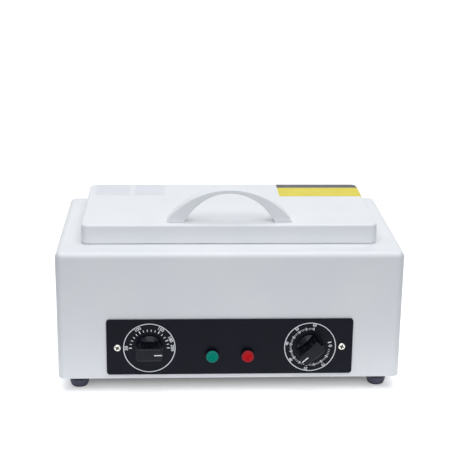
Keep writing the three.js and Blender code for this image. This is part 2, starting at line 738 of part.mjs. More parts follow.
function panelScrew() {
  return panScrew(PANEL_SCREW_RADIUS, PANEL_SCREW_LENGTH, PANEL_SCREW_HEAD_RADIUS, PANEL_SCREW_HEAD_HEIGHT)
    .rotateX(Math.PI / 2);
}

// Knob: a dished skirt with a grip bar across it, bored from behind for the flatted shaft
function flattedRound(radius, from, to) {
  const round = post(radius, to - from, 0, 0, from, ROUND_STEPS);
  const keep = block(2 * radius, 2 * radius, to - from, 0, -SHAFT_FLAT, from);
  return common(round, keep);
}

function knob() {
  const height = KNOB_REACH - KNOB_GAP;
  const dish = KNOB_SKIRT - KNOB_DISH;
  const face = KNOB_RADIUS - KNOB_EDGE - KNOB_RIM;
  const skirt = turned([
    [0, 0], [KNOB_RADIUS, 0], [KNOB_RADIUS, KNOB_SKIRT - KNOB_EDGE], [KNOB_RADIUS - KNOB_EDGE, KNOB_SKIRT],
    [face, KNOB_SKIRT], [face - KNOB_DISH, dish], [0, dish],
  ]);
  const grip = common(
    crowned(GRIP_LENGTH, GRIP_WIDTH, height, GRIP_WIDTH * GRIP_CORNER_SHARE, KNOB_EDGE, SMALL_CORNER_STEPS),
    turned([[0, 0], [KNOB_RADIUS, 0], [KNOB_RADIUS - GRIP_TAPER, height], [0, height]]),
  );
  const bore = flattedRound(SHAFT_RADIUS + FREE_FIT / 2, -OVERRUN, SHAFT_REACH - KNOB_GAP + FREE_FIT);
  const mark = block(
    MARK_LENGTH, MARK_WIDTH, 2 * MARK_DEPTH,
    GRIP_LENGTH / 2 - MARK_INSET - MARK_LENGTH / 2, 0, height - MARK_DEPTH,
  );
  return cut(join(skirt, grip), bore, mark).rotateX(Math.PI / 2);
}

// Shaft: its flat runs in the knob, its round end in the thermostat or timer
function shaft() {
  const bearing = PANEL_THICKNESS + 2 * SEAT + SHEET + SHAFT_BEARING;
  const whole = join(
    post(SHAFT_RADIUS, bearing + SEAT, 0, 0, -bearing, ROUND_STEPS),
    flattedRound(SHAFT_RADIUS, 0, SHAFT_REACH),
  );
  return whole.rotateX(Math.PI / 2);
}

// Pilot lamps
function lampLens() {
  const bend = LENS_EDGE * LENS_BEND_SHARE;
  const crown = LENS_EDGE * LENS_CROWN_SHARE;
  return sealed(turned([
    [0, LENS_BORE_DEPTH], [LENS_BORE_RADIUS, LENS_BORE_DEPTH], [LENS_BORE_RADIUS, SEAT],
    [LENS_RADIUS, SEAT], [LENS_RADIUS, LENS_REACH - LENS_EDGE], [LENS_RADIUS - bend, LENS_REACH - bend],
    [LENS_RADIUS - LENS_EDGE, LENS_REACH], [0, LENS_REACH + crown],
  ], LENS_FACETS).rotateX(Math.PI / 2));
}

function lampBody() {
  const collarFace = -PANEL_THICKNESS - SHEET - 3 * SEAT;
  const collarBack = collarFace - LAMP_COLLAR;
  return sealed(turned([
    [0, -LAMP_BARREL_LENGTH], [LAMP_BARREL_RADIUS, -LAMP_BARREL_LENGTH], [LAMP_BARREL_RADIUS, collarBack],
    [LAMP_COLLAR_RADIUS, collarBack], [LAMP_COLLAR_RADIUS, collarFace], [LAMP_BARREL_RADIUS, collarFace],
    [LAMP_BARREL_RADIUS, 0], [LAMP_TIP_RADIUS, 0], [LAMP_TIP_RADIUS, LENS_BORE_DEPTH - 2 * FREE_FIT],
    [0, LENS_BORE_DEPTH - FREE_FIT],
  ], SMALL_ROUND_STEPS).rotateX(Math.PI / 2));
}

// Thermostat: switch block and diaphragm can behind the wall, its front at y = 0
function controlBore() {
  return rod(SHAFT_RADIUS + FREE_FIT, -OVERRUN, SHAFT_BEARING + FREE_FIT, 0, 0, ROUND_STEPS);
}

function thermostatBody() {
  const switchBlock = upright(THERMOSTAT_WIDTH, THERMOSTAT_HEIGHT, THERMOSTAT_DEPTH, THERMOSTAT_CORNER)
    .translate(0, THERMOSTAT_DEPTH, 0);
  const canBack = THERMOSTAT_DEPTH + THERMOSTAT_CAN_DEPTH;
  const can = rod(THERMOSTAT_CAN_RADIUS, THERMOSTAT_DEPTH / 2, canBack, 0, 0, ROUND_STEPS);
  const tabs = SIDES.map(([, sx]) => block(
    TAB_WIDTH, TAB_LENGTH * 2, TAB_THICKNESS,
    sx * THERMOSTAT_WIDTH * TAB_PLACE_SHARE, THERMOSTAT_DEPTH, -THERMOSTAT_HEIGHT / 4,
  ));
  return cut(join(switchBlock, can, ...tabs), controlBore());
}

// Sensing bulb lying against the tank, with the capillary that leads to the thermostat
function sensingBulb() {
  const from = BULB_X - BULB_LENGTH / 2;
  const bulbY = TANK_FRONT - SEAT - BULB_RADIUS;
  const downY = FRONT + SHEET + SEAT + THERMOSTAT_DEPTH * CAPILLARY_ENTRY_SHARE;
  const bottom = DIAL_Z + THERMOSTAT_HEIGHT / 2 + SEAT;
  const turnX = -DIAL_X;
  const curve = new THREE.CatmullRomCurve3([
    new THREE.Vector3(from + BULB_RADIUS, bulbY, BULB_Z),
    new THREE.Vector3(from - CAPILLARY_BEND / 2, bulbY, BULB_Z),
    new THREE.Vector3(turnX, bulbY - CAPILLARY_BEND, BULB_Z),
    new THREE.Vector3(turnX, (bulbY + downY) / 2 - CAPILLARY_BEND / 2, BULB_Z - CAPILLARY_BEND / 4),
    new THREE.Vector3(turnX, downY, BULB_Z - 2 * CAPILLARY_BEND),
    new THREE.Vector3(turnX, downY, bottom + CAPILLARY_BEND),
    new THREE.Vector3(turnX, downY, bottom),
  ]);
  const tube = wire(curve, CAPILLARY_RADIUS, CAPILLARY_SIDES, CAPILLARY_STEPS);
  const bulb = bar(BULB_RADIUS, from, from + BULB_LENGTH, bulbY, BULB_Z);
  return join(bulb, tube);
}

// Spring clip that holds the bulb to the tank
function bulbClip() {
  const reach = BULB_RADIUS + FREE_FIT + CLIP_THICKNESS;
  const bulbY = -SEAT - BULB_RADIUS;
  const roomReach = reach - CLIP_THICKNESS;
  const outside = join(
    bar(reach, -CLIP_WIDTH / 2, CLIP_WIDTH / 2, bulbY, 0, ROUND_STEPS),
    block(CLIP_WIDTH, BULB_RADIUS, 2 * reach, 0, bulbY + BULB_RADIUS / 2, -reach),
  );
  const room = join(
    bar(roomReach, -CLIP_WIDTH, CLIP_WIDTH, bulbY, 0, ROUND_STEPS),
    block(2 * CLIP_WIDTH, 2 * BULB_RADIUS, 2 * roomReach, 0, bulbY + BULB_RADIUS, -roomReach),
  );
  const wallRoom = block(2 * CLIP_WIDTH, 2 * reach, 4 * reach, 0, reach - SEAT, -2 * reach);
  return cut(outside, room, wallRoom);
}

// Clockwork timer: two plates with the movement between them, its front at y = 0
function timerBody() {
  const plate = (y) => upright(TIMER_WIDTH, TIMER_HEIGHT, TIMER_PLATE, TIMER_CORNER)
    .translate(0, y + TIMER_PLATE, 0);
  const movement = upright(
    TIMER_WIDTH - 2 * TIMER_CORNER, TIMER_HEIGHT - 2 * TIMER_CORNER, TIMER_DEPTH - TIMER_PLATE, TIMER_CORNER,
  ).translate(0, TIMER_DEPTH - TIMER_PLATE / 2, 0);
  const pillars = SIDES.flatMap(([, sx]) => SIDES.map(([, sz]) => rod(
    TIMER_CORNER * PILLAR_SHARE, TIMER_PLATE / 2, TIMER_DEPTH - TIMER_PLATE / 2,
    sx * (TIMER_WIDTH / 2 - TIMER_CORNER), sz * (TIMER_HEIGHT / 2 - TIMER_CORNER),
  )));
  const tabs = SIDES.map(([, sx]) => block(
    TAB_WIDTH, TAB_LENGTH * 2, TAB_THICKNESS,
    sx * TIMER_WIDTH * TAB_PLACE_SHARE, TIMER_DEPTH, -TIMER_HEIGHT * TAB_PLACE_SHARE,
  ));
  const works = join(plate(0), plate(TIMER_DEPTH - TIMER_PLATE), movement, ...pillars, ...tabs);
  return cut(works, controlBore());
}

function timerBell() {
  const roof = BELL_DEPTH - BELL_SHEET;
  const bend = roof - BELL_SHEET;
  const inner = BELL_RADIUS - BELL_SHEET;
  return sealed(turned([
    [0, 0], [BELL_SHEET * 2, 0], [BELL_SHEET * 2, roof], [inner - BELL_SHEET, roof], [inner, bend],
    [inner, BELL_SHEET], [BELL_RADIUS, BELL_SHEET], [BELL_RADIUS, bend], [inner, BELL_DEPTH], [0, BELL_DEPTH],
  ], MEDIUM_ROUND_STEPS).rotateX(-Math.PI / 2));
}

// Power inlet: a flanged socket let into the rear wall, its flange on y = 0
function inletOutline(width, height, chamfer) {
  const outline = new THREE.Shape();
  outline.moveTo(-width / 2, -height / 2);
  outline.lineTo(width / 2, -height / 2);
  outline.lineTo(width / 2, height / 2 - chamfer);
  outline.lineTo(width / 2 - chamfer, height / 2);
  outline.lineTo(-width / 2 + chamfer, height / 2);
  outline.lineTo(-width / 2, height / 2 - chamfer);
  outline.closePath();
  return outline;
}

function inletBlock(width, height, from, to) {
  const geometry = new THREE.ExtrudeGeometry(
    inletOutline(width, height, INLET_CORNER), { depth: to - from, bevelEnabled: false },
  );
  return geometry.rotateX(Math.PI / 2).translate(0, to, 0);
}

const INLET_PINS = [
  ['line', -PIN_PITCH / 2, 0],
  ['neutral', PIN_PITCH / 2, 0],
  ['earth', 0, PIN_EARTH_RISE],
];

function powerInlet() {
  const flange = upright(INLET_FLANGE_WIDTH, INLET_FLANGE_HEIGHT, INLET_FLANGE, INLET_CORNER)
    .translate(0, INLET_FLANGE, 0);
  const body = inletBlock(INLET_BODY_WIDTH, INLET_BODY_HEIGHT, -INLET_BODY_DEPTH, INLET_FLANGE / 2);
  const mouth = inletBlock(
    INLET_MOUTH_WIDTH, INLET_MOUTH_HEIGHT, INLET_FLANGE - INLET_MOUTH_DEPTH, INLET_FLANGE + OVERRUN,
  );
  const pinHoles = INLET_PINS.map(([, x, z]) => block(
    PIN_WIDTH + 2 * SEAT, INLET_BODY_DEPTH, PIN_HEIGHT + 2 * SEAT,
    x, -INLET_BODY_DEPTH, z - PIN_HEIGHT / 2 - SEAT,
  ));
  const screwRooms = SIDES.map(([, sx]) => rod(
    INLET_SCREW_RADIUS + FREE_FIT, -OVERRUN, INLET_FLANGE + OVERRUN, sx * INLET_SCREW_PITCH / 2, 0,
  ));
  return cut(join(flange, body), mouth, ...pinHoles, ...screwRooms);
}

function inletPin() {
  const length = PIN_REACH + INLET_BODY_DEPTH - INLET_MOUTH_DEPTH + PIN_TAIL;
  const corner = PIN_WIDTH * PIN_CORNER_SHARE;
  const blade = crowned(PIN_WIDTH, PIN_HEIGHT, length, corner, PIN_WIDTH * PIN_EDGE_SHARE, 1);
  return blade.rotateX(-Math.PI / 2).translate(0, -INLET_BODY_DEPTH - PIN_TAIL, 0);
}

function inletScrew() {
  return panScrew(INLET_SCREW_RADIUS, INLET_SCREW_LENGTH, INLET_SCREW_HEAD_RADIUS, INLET_SCREW_HEAD_HEIGHT)
    .rotateX(-Math.PI / 2).translate(0, INLET_FLANGE, 0);
}

function wellX(pole) {
  return (pole - (BLOCK_POLES - 1) / 2) * BLOCK_WIDTH / BLOCK_POLES;
}

function terminalBlock() {
  const wells = [];
  const wellFloor = BLOCK_HEIGHT - BLOCK_WELL_DEPTH;
  for (let pole = 0; pole < BLOCK_POLES; pole += 1) {
    wells.push(post(BLOCK_WELL_RADIUS, BLOCK_WELL_DEPTH + OVERRUN, wellX(pole), 0, wellFloor));
  }
  return cut(slab(BLOCK_WIDTH, BLOCK_DEPTH, BLOCK_HEIGHT, BLOCK_DEPTH * BLOCK_ROUND_SHARE), ...wells);
}

// Leads inside the housing: each leaves a well of the terminal block and ends at a terminal
function lead(pole, ...way) {
  const top = BLOCK_BASE + BLOCK_HEIGHT;
  const x = BLOCK_X + wellX(pole);
  const points = [
    new THREE.Vector3(x, BLOCK_Y, top - BLOCK_WELL_DEPTH / 2),
    new THREE.Vector3(x, BLOCK_Y, top + LEAD_RISE),
    ...way.map(([px, py, pz]) => new THREE.Vector3(px, py, pz)),
  ];
  return sealed(wire(new THREE.CatmullRomCurve3(points), LEAD_RADIUS, LEAD_SIDES, LEAD_STEPS));
}

function leads() {
  const behind = FRONT + SHEET + 2 * SEAT + LEAD_END_GAP + LEAD_RADIUS;
  const tailY = REAR - INLET_BODY_DEPTH - PIN_TAIL - LEAD_END_GAP;
  const tabY = behind + THERMOSTAT_DEPTH + TAB_LENGTH;
  const timerTabY = behind + TIMER_DEPTH + TAB_LENGTH;
  const tabZ = DIAL_Z - THERMOSTAT_HEIGHT / 4 + TAB_THICKNESS / 2;
  const timerTabZ = DIAL_Z - TIMER_HEIGHT * TAB_PLACE_SHARE + TAB_THICKNESS / 2;
  const tabX = DIAL_X - THERMOSTAT_WIDTH * TAB_PLACE_SHARE;
  const timerTabX = DIAL_X - TIMER_WIDTH * TAB_PLACE_SHARE;
  const over = BLOCK_BASE + BLOCK_HEIGHT + LEAD_RISE / 2;
  const low = BLOCK_BASE + BLOCK_HEIGHT / 2;
  const pinX = INLET_X - PIN_PITCH / 2;
  const heaterX = CUTOUT_X - CUTOUT_RADIUS / 2;
  const heaterEnd = CLAMP_BOTTOM - CUTOUT_HEIGHT * TAB_DROP_SHARE - LEAD_END_GAP;
  const heaterFall = heaterEnd - LEAD_FALL;
  return [
    ['lead_inlet', lead(
      0, [INLET_X + PIN_PITCH, BLOCK_Y, INLET_Z], [pinX, tailY - LEAD_RISE, INLET_Z], [pinX, tailY, INLET_Z],
    )],
    ['lead_thermostat', lead(
      1, [BLOCK_X + wellX(1), BLOCK_Y - BLOCK_DEPTH, over], [-tabX, 0, low],
      [-tabX, tabY + 2 * LEAD_RISE, tabZ], [-tabX, tabY, tabZ],
    )],
    ['lead_timer', lead(
      3, [BLOCK_X + wellX(3), BLOCK_Y - BLOCK_DEPTH, over], [timerTabX, 0, low],
      [timerTabX, timerTabY + 2 * LEAD_RISE, timerTabZ], [timerTabX, timerTabY, timerTabZ],
    )],
    ['lead_heater', lead(
      4, [heaterX, LID_Y + LEAD_RISE, heaterFall - LEAD_RISE], [heaterX, LID_Y, heaterFall],
      [heaterX, LID_Y, heaterEnd],
    )],
  ];
}

// Lid: painted outer pan, stainless liner pressed down over the tank, insulation and seal
const LID_INSIDE_WIDTH = LID_WIDTH - 2 * LID_SHEET;
const LID_INSIDE_DEPTH = LID_DEPTH - 2 * LID_SHEET;
const HANDLE_Y = -LID_DEPTH / 2 + HANDLE_SETBACK + HANDLE_GRIP_DEPTH / 2;
const HANDLE_SCREW_X = HANDLE_INNER_SPAN / 2 + HANDLE_SCREW_INSET;

function handleScrewRooms(radius, from, height) {
  return SIDES.map(([, sx]) => post(radius, height, sx * HANDLE_SCREW_X, HANDLE_Y, from));
}

function lidShell() {
  const outside = crowned(LID_WIDTH, LID_DEPTH, LID_WALL_HEIGHT, LID_CORNER, LID_EDGE_RADIUS);
  const room = crowned(
    LID_INSIDE_WIDTH, LID_INSIDE_DEPTH, LID_WALL_HEIGHT - LID_SHEET + OVERRUN,
    LID_CORNER - LID_SHEET, LID_EDGE_RADIUS - LID_SHEET,
  ).translate(0, 0, -OVERRUN);
  const holes = handleScrewRooms(
    HANDLE_SCREW_RADIUS + FREE_FIT, LID_WALL_HEIGHT - LID_SHEET - OVERRUN, LID_SHEET + 2 * OVERRUN,
  );
  return cut(outside, room, ...holes);
}

function lidLiner() {
  const width = LID_INSIDE_WIDTH - 2 * SEAT;
  const depth = LID_INSIDE_DEPTH - 2 * SEAT;
  const corner = LID_CORNER - LID_SHEET - SEAT;
  const thin = LINER_THICKNESS;
  const bossWidth = TANK_WIDTH - 2 * BOSS_MARGIN;
  const bossDepth = TANK_DEPTH - 2 * BOSS_MARGIN;
  const boss = dished(bossWidth, bossDepth, BOSS_DROP + thin, BOSS_CORNER, BOSS_DROP, SMALL_CORNER_STEPS)
    .translate(0, 0, -BOSS_DROP);
  const bossRoom = dished(
    bossWidth - 2 * thin, bossDepth - 2 * thin, BOSS_DROP + thin + OVERRUN,
    BOSS_CORNER - thin, BOSS_DROP, SMALL_CORNER_STEPS,
  ).translate(0, 0, thin - BOSS_DROP);
  const pan = slab(width, depth, LINER_WALL, corner);
  const room = slab(width - 2 * thin, depth - 2 * thin, LINER_WALL, corner - thin, thin);
  return cut(join(pan, boss), room, bossRoom);
}

function lidInsulation() {
  const margin = 2 * (SEAT + LINER_THICKNESS + SEAT);
  const from = LINER_RECESS + LINER_THICKNESS + SEAT;
  const height = LID_WALL_HEIGHT - LID_SHEET - SEAT - from;
  const blanket = crowned(
    LID_INSIDE_WIDTH - margin, LID_INSIDE_DEPTH - margin, height,
    LID_CORNER - LID_SHEET - SEAT, LID_EDGE_RADIUS, SMALL_CORNER_STEPS,
  ).translate(0, 0, from);
  const screwFloor = LID_WALL_HEIGHT - LID_SHEET - HANDLE_SCREW_HEAD_HEIGHT - FREE_FIT;
  const rooms = handleScrewRooms(
    HANDLE_SCREW_HEAD_RADIUS + FREE_FIT, screwFloor, HANDLE_SCREW_HEAD_HEIGHT + OVERRUN,
  );
  return cut(blanket, ...rooms);
}

function lidSeal() {
  const height = LID_GAP + LINER_RECESS - TANK_SHEET - 3 * SEAT;
  const width = FLANGE_WIDTH - 2 * SEAL_INSET;
  const depth = FLANGE_DEPTH - 2 * SEAL_INSET;
  const corner = TANK_CORNER + TANK_FLANGE - SEAL_INSET;
  const hole = slab(
    width - 2 * SEAL_WIDTH, depth - 2 * SEAL_WIDTH, height + 2 * OVERRUN, corner - SEAL_WIDTH, -OVERRUN,
  );
  return cut(slab(width, depth, height, corner), hole);
}

// Handle: an arch whose legs widen to the feet, between two ellipses whose centres lie below it
function archPoints(span, height, sink) {
  const rise = height + sink;
  const start = Math.asin(sink / rise);
  const reach = span / 2 / Math.cos(start);
  const points = [];
  for (let i = 0; i <= HANDLE_STEPS; i += 1) {
    const angle = start + (i / HANDLE_STEPS) * (Math.PI - 2 * start);
    points.push(new THREE.Vector2(reach * Math.cos(angle), rise * Math.sin(angle) - sink));
  }
  return points;
}

function lidHandle() {
  const outer = archPoints(HANDLE_SPAN, HANDLE_HEIGHT, HANDLE_OUTER_SINK);
  const inner = archPoints(HANDLE_INNER_SPAN, HANDLE_INNER_HEIGHT, HANDLE_INNER_SINK);
  const outline = new THREE.Shape([...outer, ...inner.reverse()]);
  const arch = new THREE.ExtrudeGeometry(outline, {
    depth: HANDLE_GRIP_DEPTH - 2 * HANDLE_EDGE,
    bevelThickness: HANDLE_EDGE,
    bevelSize: HANDLE_EDGE,
    bevelOffset: -HANDLE_EDGE,
    bevelSegments: 1,
  });
  arch.rotateX(Math.PI / 2).translate(0, HANDLE_GRIP_DEPTH / 2 - HANDLE_EDGE, 0);
  const bores = SIDES.map(([, sx]) => post(
    HANDLE_SCREW_RADIUS + FREE_FIT / 2, HANDLE_SCREW_LENGTH + FREE_FIT + OVERRUN,
    sx * HANDLE_SCREW_X, 0, -OVERRUN,
  ));
  return cut(arch, ...bores);
}

function handleScrew() {
  return upwardScrew(
    HANDLE_SCREW_RADIUS, HANDLE_SCREW_HEAD_RADIUS, HANDLE_SCREW_HEAD_HEIGHT,
    -LID_SHEET - SEAT, HANDLE_SCREW_LENGTH,
  );
}

// Hinges: the pin's axis is at the origin and runs along X
function knuckleSpan(index) {
  const pitch = HINGE_WIDTH / KNUCKLES;
  const from = index * pitch - HINGE_WIDTH / 2;
  return [from + KNUCKLE_GAP / 2, from + pitch - KNUCKLE_GAP / 2];
}

// A leaf lying on z = -KNUCKLE_RADIUS and reaching towards +Y, with every second knuckle
function hingeLeaf(reach, firstKnuckle) {
  const plate = slab(HINGE_WIDTH, 2 * reach, HINGE_LEAF, LEAF_CORNER, -KNUCKLE_RADIUS);
  const ahead = block(2 * HINGE_WIDTH, 2 * reach, 2 * KNUCKLE_RADIUS, 0, -reach, -2 * KNUCKLE_RADIUS);
  const roomRadius = KNUCKLE_RADIUS + KNUCKLE_GAP;
  const knuckles = [];
  const rooms = [];
  for (let i = 0; i < KNUCKLES; i += 1) {
    const [from, to] = knuckleSpan(i);
    if (i % 2 === firstKnuckle) {
      knuckles.push(bar(KNUCKLE_RADIUS, from, to, 0, 0, MEDIUM_ROUND_STEPS));
    } else {
      rooms.push(bar(roomRadius, from - KNUCKLE_GAP, to + KNUCKLE_GAP, 0, 0, MEDIUM_ROUND_STEPS));
    }
  }
  const pinRoom = bar(PIN_RADIUS + FREE_FIT, -HINGE_WIDTH, HINGE_WIDTH);
  const holeY = (reach + KNUCKLE_RADIUS) / 2 + KNUCKLE_GAP;
  const holes = [];
  for (let i = 0; i < LEAF_HOLES; i += 1) {
    const x = (i - (LEAF_HOLES - 1) / 2) * HINGE_WIDTH * HOLE_SPREAD_SHARE;
    holes.push(post(LEAF_HOLE_RADIUS, HINGE_LEAF + 2 * OVERRUN, x, holeY, -KNUCKLE_RADIUS - OVERRUN));
  }
  return cut(join(cut(plate, ahead), ...knuckles), ...rooms, pinRoom, ...holes);
}

function hingePin() {
  const half = HINGE_WIDTH / 2 + SEAT;
  return join(
    bar(PIN_RADIUS, -half - PIN_HEAD / 2, half + PIN_HEAD / 2, 0, 0),
    bar(PIN_HEAD_RADIUS, -half - PIN_HEAD, -half),
    bar(PIN_HEAD_RADIUS, half, half + PIN_HEAD),
  );
}

// Tray: perforated pan with a turned-out rim, and a bent wire handle welded in each end
function tray() {
  const outside = dished(TRAY_WIDTH, TRAY_DEPTH, TRAY_HEIGHT, TRAY_CORNER, TRAY_EDGE);
  const rim = slab(
    TRAY_WIDTH + 2 * TRAY_RIM, TRAY_DEPTH + 2 * TRAY_RIM, TRAY_SHEET,
    TRAY_CORNER + TRAY_RIM, TRAY_HEIGHT - TRAY_SHEET,
  );
  const inside = dished(
    TRAY_WIDTH - 2 * TRAY_SHEET, TRAY_DEPTH - 2 * TRAY_SHEET, TRAY_HEIGHT + OVERRUN,
    TRAY_CORNER - TRAY_SHEET, TRAY_EDGE - TRAY_SHEET,
  ).translate(0, 0, TRAY_SHEET);
  const holes = [];
  for (let column = 0; column < TRAY_HOLE_COLUMNS; column += 1) {
    for (let row = 0; row < TRAY_HOLE_ROWS; row += 1) {
      const x = (column - (TRAY_HOLE_COLUMNS - 1) / 2) * TRAY_HOLE_PITCH;
      const y = (row - (TRAY_HOLE_ROWS - 1) / 2) * TRAY_HOLE_PITCH;
      holes.push(post(TRAY_HOLE_RADIUS, TRAY_SHEET + 2 * OVERRUN, x, y, -OVERRUN, TRAY_HOLE_SIDES));
    }
  }
  return cut(join(outside, rim), inside, ...holes);
}

function trayHandle() {
  const half = WIRE_SPAN / 2;
  const top = TRAY_HEIGHT + WIRE_RISE;
  const path = new THREE.CurvePath();
  const foot = TRAY_HEIGHT * WIRE_FOOT_SHARE;
  const at = (y, z) => new THREE.Vector3(0, y, z);
  const bendFrom = top - WIRE_BEND;
  const flat = half - WIRE_BEND;
  path.add(new THREE.LineCurve3(at(-half, foot), at(-half, bendFrom)));
  path.add(new THREE.QuadraticBezierCurve3(at(-half, bendFrom), at(-half, top), at(-flat, top)));
  path.add(new THREE.LineCurve3(at(-flat, top), at(flat, top)));
  path.add(new THREE.QuadraticBezierCurve3(at(flat, top), at(half, top), at(half, bendFrom)));
  path.add(new THREE.LineCurve3(at(half, bendFrom), at(half, foot)));
  return sealed(wire(path, WIRE_RADIUS, WIRE_SIDES, WIRE_STEPS));
}

// The fixed assembly
function feet() {
  return FOOT_PLACES.flatMap(([place, x, y]) => [
    part(`foot_${place}`, foot(), rubber(), x, y),
    part(`foot_screw_${place}`, footScrew(), zinc(), x, y),
  ]);
}

function heating() {
  const under = CLAMP_BOTTOM - SEAT;
  return [
    part('chamber_tank', chamberTank(), stainless(), 0, LID_Y, TANK_SEAT),
    part('heater_element', heaterSheet(HEATER_THICKNESS), mica(), 0, LID_Y, HEATER_TOP - HEATER_THICKNESS),
    part('heater_clamp_plate', heaterSheet(CLAMP_THICKNESS), zinc(), 0, LID_Y, CLAMP_BOTTOM),
    ...SIDES.map(([side, sx]) => part(
      `heater_nut_${side}`, nut(), zinc(), sx * STUD_X, LID_Y, under - NUT_HEIGHT,
    )),
    part('thermal_cutout', thermalCutout(), ceramic(), CUTOUT_X, LID_Y, under),
    part('tank_insulation', tankInsulation(), wool()),
    part('thermostat_bulb', sensingBulb(), brass()),
    part('bulb_clip', bulbClip(), stainless(), BULB_X, TANK_FRONT, BULB_Z),
  ];
}

function controls() {
  const inside = FRONT + SHEET + SEAT;
  return [
    part('control_panel', controlPanel(), blackPlate()),
    part('thermostat_body', thermostatBody(), ceramic(), -DIAL_X, inside, DIAL_Z),
    part('timer_body', timerBody(), zinc(), DIAL_X, inside, DIAL_Z),
    part('timer_bell', timerBell(), brass(), DIAL_X, inside + TIMER_DEPTH + SEAT, DIAL_Z),
    ...SIDES.map(([side, sx]) => part(
      `panel_screw_${side}`, panelScrew(), zinc(), sx * PANEL_SCREW_X, PANEL_FACE, PANEL_Z,
    )),
    ...[['green', -1, 0x00725f], ['red', 1, 0xb01820]].flatMap(([colour, sx, tint]) => [
      part(`lamp_${colour}_lens`, lampLens(), finish(tint, 0.25), sx * LAMP_X, PANEL_FACE, LAMP_Z),
      part(`lamp_${colour}_body`, lampBody(), ceramic(), sx * LAMP_X, PANEL_FACE, LAMP_Z),
    ]),
  ];
}

function supply() {
  const inletY = REAR + SEAT;
  return [
    part('power_inlet', powerInlet(), blackPlastic(), INLET_X, inletY, INLET_Z),
    ...INLET_PINS.map(([name, x, z]) => part(
      `inlet_pin_${name}`, inletPin(), brass(), INLET_X + x, inletY, INLET_Z + z,
    )),
    ...SIDES.map(([side, sx]) => part(
      `inlet_screw_${side}`, inletScrew(), zinc(), INLET_X + sx * INLET_SCREW_PITCH / 2, inletY, INLET_Z,
    )),
    part('terminal_block', terminalBlock(), ceramic(), BLOCK_X, BLOCK_Y, BLOCK_BASE),
    ...leads().map(([name, geometry]) => part(name, geometry, silicone())),
  ];
}

const HINGE_Y = LID_Y + LID_DEPTH / 2 + SEAT + KNUCKLE_RADIUS;
const HINGE_Z = HOUSING_TOP + SEAT + KNUCKLE_RADIUS;

function fixedHingeParts() {
  const leaf = () => hingeLeaf(FIXED_LEAF_REACH, 0);
  return SIDES.flatMap(([side, sx]) => [
    part(`hinge_leaf_fixed_${side}`, leaf(), stainless(), sx * HINGE_X, HINGE_Y, HINGE_Z),
    part(`hinge_pin_${side}`, hingePin(), stainless(), sx * HINGE_X, HINGE_Y, HINGE_Z),
  ]);
}

function housing() {
  return assembly(
    part('housing_shell', housingShell(), paint(), 0, 0, STAND),
    part('base_plate', basePlate(), zinc(), 0, 0, STAND),
    ...feet(),
    ...heating(),
    ...controls(),
    ...supply(),
    ...fixedHingeParts(),
  );
}

// What turns with a knob, round the shaft's axis
function turningControl(name, x, turn) {
  const group = assembly(
    part(`${name}_knob`, knob(), blackPlastic(), 0, -KNOB_GAP, 0),
    part(`${name}_shaft`, shaft(), brass()),
  );
  group.position.set(x, PANEL_FACE, DIAL_Z);
  group.rotation.y = THREE.MathUtils.degToRad(turn);
  return group;
}

// What swings with the lid
function lid() {
  const leaf = () => hingeLeaf(LID_LEAF_REACH, 1).rotateX(-Math.PI / 2).rotateY(Math.PI);
  const hingeY = HINGE_Y - LID_Y;
  const hingeZ = HINGE_Z - LID_BOTTOM;
  const group = assembly(
    part('lid_shell', lidShell(), paint()),
    part('lid_liner', lidLiner(), stainless(), 0, 0, LINER_RECESS),
    part('lid_insulation', lidInsulation(), wool()),
    part('lid_seal', lidSeal(), silicone(), 0, 0, TANK_SHEET + 2 * SEAT - LID_GAP),
    part('lid_handle', lidHandle(), paint(), 0, HANDLE_Y, LID_WALL_HEIGHT + SEAT),
    ...SIDES.flatMap(([side, sx]) => [
      part(`handle_screw_${side}`, handleScrew(), zinc(), sx * HANDLE_SCREW_X, HANDLE_Y, LID_WALL_HEIGHT),
      part(`hinge_leaf_lid_${side}`, leaf(), stainless(), sx * HINGE_X, hingeY, hingeZ),
    ]),
  );
  group.position.set(0, LID_Y, LID_BOTTOM);
  return group;
}

// What lifts out with the tray
function trayAssembly() {
  const handleX = TRAY_WIDTH / 2 - TRAY_SHEET - SEAT - WIRE_RADIUS;
  const group = assembly(
    part('tray', tray(), stainless()),
    ...SIDES.map(([side, sx]) => part(`tray_handle_${side}`, trayHandle(), stainless(), sx * handleX)),
  );
  group.position.set(0, LID_Y, TANK_BOTTOM + TANK_SHEET + SEAT);
  return group;
}

// The origin stands under the middle of the outline, which the knobs and the inlet stretch
const FRONT_REACH = KNOB_REACH - PANEL_FACE;
const REAR_REACH = REAR + SEAT + INLET_FLANGE + INLET_SCREW_HEAD_HEIGHT;

const sterilizer = assembly(
  housing(),
  turningControl('thermostat', -DIAL_X, 0),
  turningControl('timer', DIAL_X, TIMER_MARK_DEG),
  lid(),
  trayAssembly(),
);
sterilizer.name = 'dry_heat_sterilizer';
sterilizer.position.y = (FRONT_REACH - REAR_REACH) / 2;

export default sterilizer;
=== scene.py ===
# %% [markdown]
# # A benchtop dry heat sterilizer
# A white powder-coated steel box holds a stainless tank that is heated from below. A shallow
# lid hinged at the back closes it, and a black panel in front carries a thermostat, a timer
# and two pilot lamps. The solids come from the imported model, and this file gives them their
# looks: finer forms for what the eye meets first, and a worked finish for every surface.

# %% Load the frame
import json
import math
import bmesh
import bpy
from mathutils import Matrix, Vector


